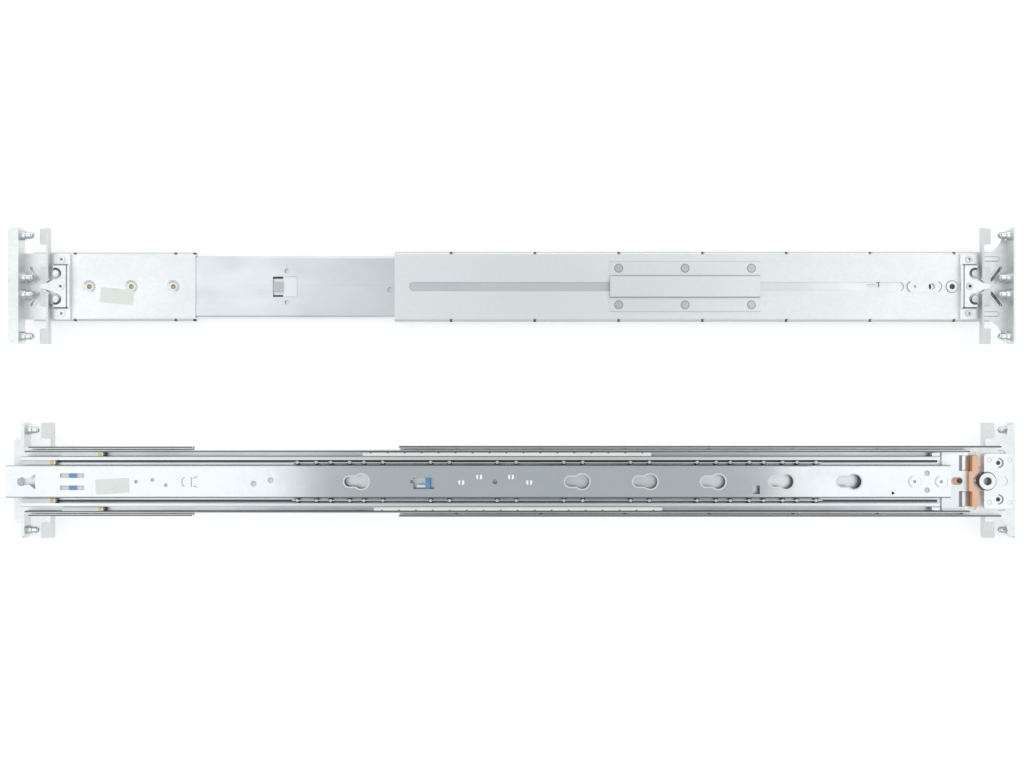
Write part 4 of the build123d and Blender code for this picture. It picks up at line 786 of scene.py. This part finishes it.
@dataclass
class Studio:
    """Floor, soft lights and the overhead camera."""

    floor_size: float = 8.0
    world_level: float = 0.55
    world_colour: Colour = (0.88, 0.97, 1.0)
    camera_height: float = 1.19
    camera_place: Range = (-0.00173, -0.0004)
    lens: float = 54.57
    sensor: float = 36.0
    floor_drop: float = 0.0002
    box_places: Tuple[Tuple[str, float], ...] = (("left_softbox", -1.12), ("right_softbox", 1.2))
    box_height: float = 1.19
    box_size: Range = (1.6, 1.8)
    box_level: float = 0.72
    back_place: Tuple[float, float, float] = (0.0, 1.5, 0.9)
    back_size: Range = (2.6, 0.8)
    back_level: float = 0.9

    def floor(self) -> None:
        """Lay the pale floor under the rails."""
        shape = bmesh.new()
        bmesh.ops.create_grid(shape, x_segments=1, y_segments=1, size=self.floor_size / 2)
        bmesh.ops.translate(shape, vec=(0.0, 0.0, -self.floor_drop), verts=shape.verts)
        mesh = bpy.data.meshes.new("floor")
        shape.to_mesh(mesh)
        shape.free()
        mesh.materials.append(Finishes.FLOOR.material())
        made = bpy.data.objects.new("floor", mesh)
        bpy.context.scene.collection.objects.link(made)

    def world(self) -> None:
        """Light the scene evenly from all round, with a white backdrop for the camera."""
        made = bpy.data.worlds.new("studio")
        made.use_nodes = True
        board = Board(made.node_tree)
        rays = board.tree.nodes.new("ShaderNodeLightPath")
        seen = Wire(board, rays.outputs["Is Camera Ray"])
        strength = self.world_level + seen * (1.0 - self.world_level)
        dome = board.node("ShaderNodeBackground", {}, {"Color": self.world_colour, "Strength": strength})
        board.node("ShaderNodeOutputWorld", {}, {"Surface": dome})
        bpy.context.scene.world = made

    def softbox(self, name: str, place: Sequence[float], aim: Sequence[float], size: Range, level: float) -> None:
        """Hang one rectangular soft light.

        Args:
            name: The light's name.
            place: Where it hangs, in metres.
            aim: The point that it faces, in metres.
            size: Its width and height in metres.
            level: How bright its face is, where 1 is white.
        """
        data = bpy.data.lights.new(name, "AREA")
        data.shape = "RECTANGLE"
        data.size, data.size_y = size
        data.energy = level * math.pi * size[0] * size[1]
        made = bpy.data.objects.new(name, data)
        made.location = place
        made.rotation_euler = (Vector(aim) - Vector(place)).to_track_quat("-Z", "Y").to_euler()
        bpy.context.scene.collection.objects.link(made)

    def camera(self) -> None:
        """Set the camera straight above the rails."""
        data = bpy.data.cameras.new("overhead")
        data.lens = self.lens
        data.sensor_width = self.sensor
        data.sensor_fit = "HORIZONTAL"
        made = bpy.data.objects.new("overhead", data)
        made.location = (*self.camera_place, self.camera_height)
        bpy.context.scene.collection.objects.link(made)
        bpy.context.scene.camera = made

    def build(self) -> None:
        """Set up the whole studio."""
        self.floor()
        self.world()
        for name, along in self.box_places:
            self.softbox(name, (along, 0.0, self.box_height), (along, 0.0, 0.0), self.box_size, self.box_level)
        self.softbox("back_softbox", self.back_place, (0.0, 0.0, 0.0), self.back_size, self.back_level)
        self.camera()
        bpy.context.scene.view_settings.view_transform = "Standard"
        LOG.info("studio ready")


@dataclass
class Label(Assembly):
    """A bare label stuck on a flat face, a little askew."""

    frame: RailFrame
    name: str
    body: str
    centre: Range
    size: Range
    level: float
    outward: float
    turn: float
    thickness: float = 0.06
    corner: float = 0.8

    def build(self) -> None:
        """Make the label as a thin plate with rounded corners."""
        shape = bmesh.new()
        bmesh.ops.create_grid(shape, x_segments=1, y_segments=1, size=0.5)
        bmesh.ops.scale(shape, vec=(self.size[0], self.size[1], 1.0), verts=shape.verts)
        bmesh.ops.bevel(shape, geom=list(shape.verts), offset=self.corner, segments=3, profile=0.5,
                        affect="VERTICES", material=-1)
        rise = bmesh.ops.extrude_face_region(shape, geom=list(shape.faces))
        raised = [item for item in rise["geom"] if isinstance(item, bmesh.types.BMVert)]
        bmesh.ops.translate(shape, vec=(0.0, 0.0, self.outward * self.thickness), verts=raised)
        place = Matrix.Translation((*self.centre, self.level)) @ Matrix.Rotation(math.radians(self.turn), 4, "Z")
        bmesh.ops.transform(shape, matrix=place, verts=shape.verts)
        self.piece(self.name, shape, Finishes.PAPER, self.body, "zinc_steel")


@dataclass
class EndScrew(Assembly):
    """The dark domed screw in the end slot of the outer member, beside the glide block."""

    frame: RailFrame
    along: float = 705.4
    radius: float = 2.2
    height: float = 1.2
    level: float = 11.0
    dome: float = 0.6
    socket: float = 0.9
    socket_wall: float = 0.1
    socket_depth: float = 0.6

    def build(self) -> None:
        """Make the head with a domed rim and a sunk socket, facing the server."""
        shape = bmesh.new()
        bmesh.ops.create_circle(shape, cap_ends=True, segments=32, radius=self.radius)
        rise = bmesh.ops.extrude_face_region(shape, geom=list(shape.faces))
        raised = [item for item in rise["geom"] if isinstance(item, bmesh.types.BMVert)]
        bmesh.ops.translate(shape, vec=(0.0, 0.0, -self.height), verts=raised)
        rim = [edge for edge in shape.edges if all(vert in raised for vert in edge.verts)]
        bmesh.ops.bevel(shape, geom=rim, offset=self.dome, segments=4, profile=0.5, affect="EDGES", material=-1)
        crown = min(shape.faces, key=lambda face: face.calc_center_median().z)
        flat = self.radius - self.dome - self.socket
        bmesh.ops.inset_region(shape, faces=[crown], thickness=flat, depth=0.0)
        bmesh.ops.inset_region(shape, faces=[crown], thickness=self.socket_wall, depth=-self.socket_depth)
        bmesh.ops.translate(shape, vec=(self.along, 0.0, self.level), verts=shape.verts)
        self.piece("end_screw", shape, Finishes.BLACK_STEEL_AND_SHADE, "fixed_rails", "zinc_steel")


@dataclass
class GuideTail(Assembly):
    """The dark end of the rear bracket's guide screw, seen in its bore from the rack side."""

    frame: RailFrame
    along: float = 701.8
    radius: float = 2.3
    levels: Range = (12.75, 13.5)
    dome: float = 0.35

    def build(self) -> None:
        """Make the end with a rounded rim."""
        low, high = self.levels
        out = LEFT_REAR_OUT if self.frame.side is Side.LEFT else 0.0
        shape = bmesh.new()
        bmesh.ops.create_cone(shape, cap_ends=True, segments=32, radius1=self.radius, radius2=self.radius,
                              depth=high - low, matrix=Matrix.Translation((self.along + out, 0.0, (low + high) / 2)))
        rim = [edge for edge in shape.edges if all(vert.co.z > low + self.dome for vert in edge.verts)]
        bmesh.ops.bevel(shape, geom=rim, offset=self.dome, segments=3, profile=0.5, affect="EDGES", material=-1)
        self.piece("guide_tail", shape, Finishes.BLACK_STEEL_AND_SHADE, self.frame.node("rear_bracket_assembly"), "zinc_steel")


@dataclass
class ThinStrips(Assembly):
    """Thin flat strips that show through the openings of a web or beside its catch."""

    frame: RailFrame
    name: str
    body: str
    along: Range
    across: Tuple[Range, ...]
    levels: Range
    finish: Finish = Finishes.BACKING

    def build(self) -> None:
        """Make one flat plate for each stretch across the rail."""
        shape = bmesh.new()
        for across in self.across:
            spans = (self.along, across, self.levels)
            middle = Matrix.Translation([sum(span) / 2 for span in spans])
            size = Matrix.Diagonal([*(high - low for low, high in spans), 1.0])
            bmesh.ops.create_cube(shape, size=1.0, matrix=middle @ size)
        self.piece(self.name, shape, self.finish, self.body, "zinc_steel")


@dataclass
class KeyholeScore(Assembly):
    """The outline of a keyhole that is only half sheared into the inner member, drawn as a thin dark line of painted
    shade.
    """

    frame: RailFrame
    body: str
    eye: Range = (126.0, -0.2)
    radius: float = 3.9
    half_arc: float = 62.0
    line: float = 0.4
    proud: float = 0.05
    bar_along: float = 129.1
    bar_length: float = 7.0
    prong_places: Tuple[Range, ...] = ((132.0, 3.1), (132.0, -3.6))
    prong_length: float = 3.4
    prong_turn: float = 22.0

    def stroke(self, shape: bmesh.types.BMesh, centre: Range, length: float, turn: float) -> None:
        """Add one straight scored line.

        Args:
            shape: The mesh to add it to.
            centre: Its middle, along and across the rail.
            length: Its length in millimetres.
            turn: Its angle to the rail in degrees.
        """
        size = Matrix.Diagonal((length, self.line, self.proud, 1.0))
        place = Matrix.Translation((*centre, -self.proud / 2)) @ Matrix.Rotation(math.radians(turn), 4, "Z")
        bmesh.ops.create_cube(shape, size=1.0, matrix=place @ size)

    def build(self) -> None:
        """Make the arc, the bar and the two prongs."""
        shape = bmesh.new()
        self.stroke(shape, (self.bar_along, self.eye[1]), self.bar_length, 90.0)
        for place, sign in zip(self.prong_places, (1.0, -1.0)):
            self.stroke(shape, place, self.prong_length, sign * self.prong_turn)
        arc = bmesh.new()
        bmesh.ops.create_grid(arc, x_segments=1, y_segments=1, size=0.5,
                              matrix=Matrix.Rotation(math.pi / 2, 4, "X"))
        bmesh.ops.scale(arc, vec=(self.line, 1.0, self.proud), verts=arc.verts)
        bmesh.ops.translate(arc, vec=(-self.radius, 0.0, -self.proud / 2), verts=arc.verts)
        bmesh.ops.rotate(arc, matrix=Matrix.Rotation(math.radians(-self.half_arc), 3, "Z"), verts=arc.verts)
        bmesh.ops.spin(arc, geom=list(arc.verts) + list(arc.edges) + list(arc.faces), cent=(0.0, 0.0, 0.0),
                       axis=(0.0, 0.0, 1.0), angle=math.radians(2 * self.half_arc), steps=16)
        bmesh.ops.translate(arc, vec=(*self.eye, 0.0), verts=arc.verts)
        scratch = bpy.data.meshes.new("score_arc")
        arc.to_mesh(scratch)
        arc.free()
        shape.from_mesh(scratch)
        bpy.data.meshes.remove(scratch)
        self.piece("keyhole_score", shape, Finishes.BLACK_STEEL_AND_SHADE, self.body, "zinc_steel")


def dress_rail(side: Side, nodes: Dict[str, bpy.types.Object]) -> None:
    """Dress one rail from slide to its thin strips.

    Args:
        side: Which rail of the pair.
        nodes: The frame's nodes by name.
    """
    frame = RailFrame(side)
    Slide(frame).build(nodes)
    Brackets(frame).build(nodes)
    for end in ("front", "rear"):
        LatchEnd(frame, end).build(nodes)
    EndScrew(frame).build()
    inner = frame.node("inner_member_body")
    KeyholeScore(frame, inner).build()
    GuideTail(frame).build()
    ThinStrips(frame, "front_backing", inner, along=(84.0, 195.0), across=((-5.0, 5.0),),
               levels=BACKING_LEVELS).build()
    ThinStrips(frame, "rear_backing", inner, along=(663.0, 694.0), across=((-9.5, 9.5),),
               levels=BACKING_LEVELS).build()
    ThinStrips(frame, "release_tongue", frame.node("release_slide_body"), along=(23.0, 56.0),
               across=((-7.5, 7.5),), levels=(1.7, 2.2)).build()
    # painted shade: two dark plates stand for the shade in the gaps beside the catch
    ThinStrips(frame, "catch_shadows", "fixed_rails", along=(187.3, 194.5), across=((-7.7, -6.2), (6.2, 7.7)),
               levels=(11.05, 11.15), finish=Finishes.BLACK_STEEL_AND_SHADE).build()


def main() -> None:
    """Build the dressed pair in the studio."""
    logging.basicConfig(level=logging.INFO, format="%(name)s: %(message)s")
    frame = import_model()
    for side in Side:
        dress_rail(side, frame["nodes"])
    Label(RailFrame(Side.RIGHT), "bracket_label", "fixed_rails", centre=(69.5, -7.2), size=(25.4, 11.4),
          level=14.2, outward=1.0, turn=-5.0).build()
    Label(RailFrame(Side.LEFT), "member_label", "left_inner_member_body", centre=(70.3, -3.4), size=(25.2, 11.2),
          level=0.0, outward=-1.0, turn=3.5).build()
    Studio().build()


if __name__ == "__main__":
    main()
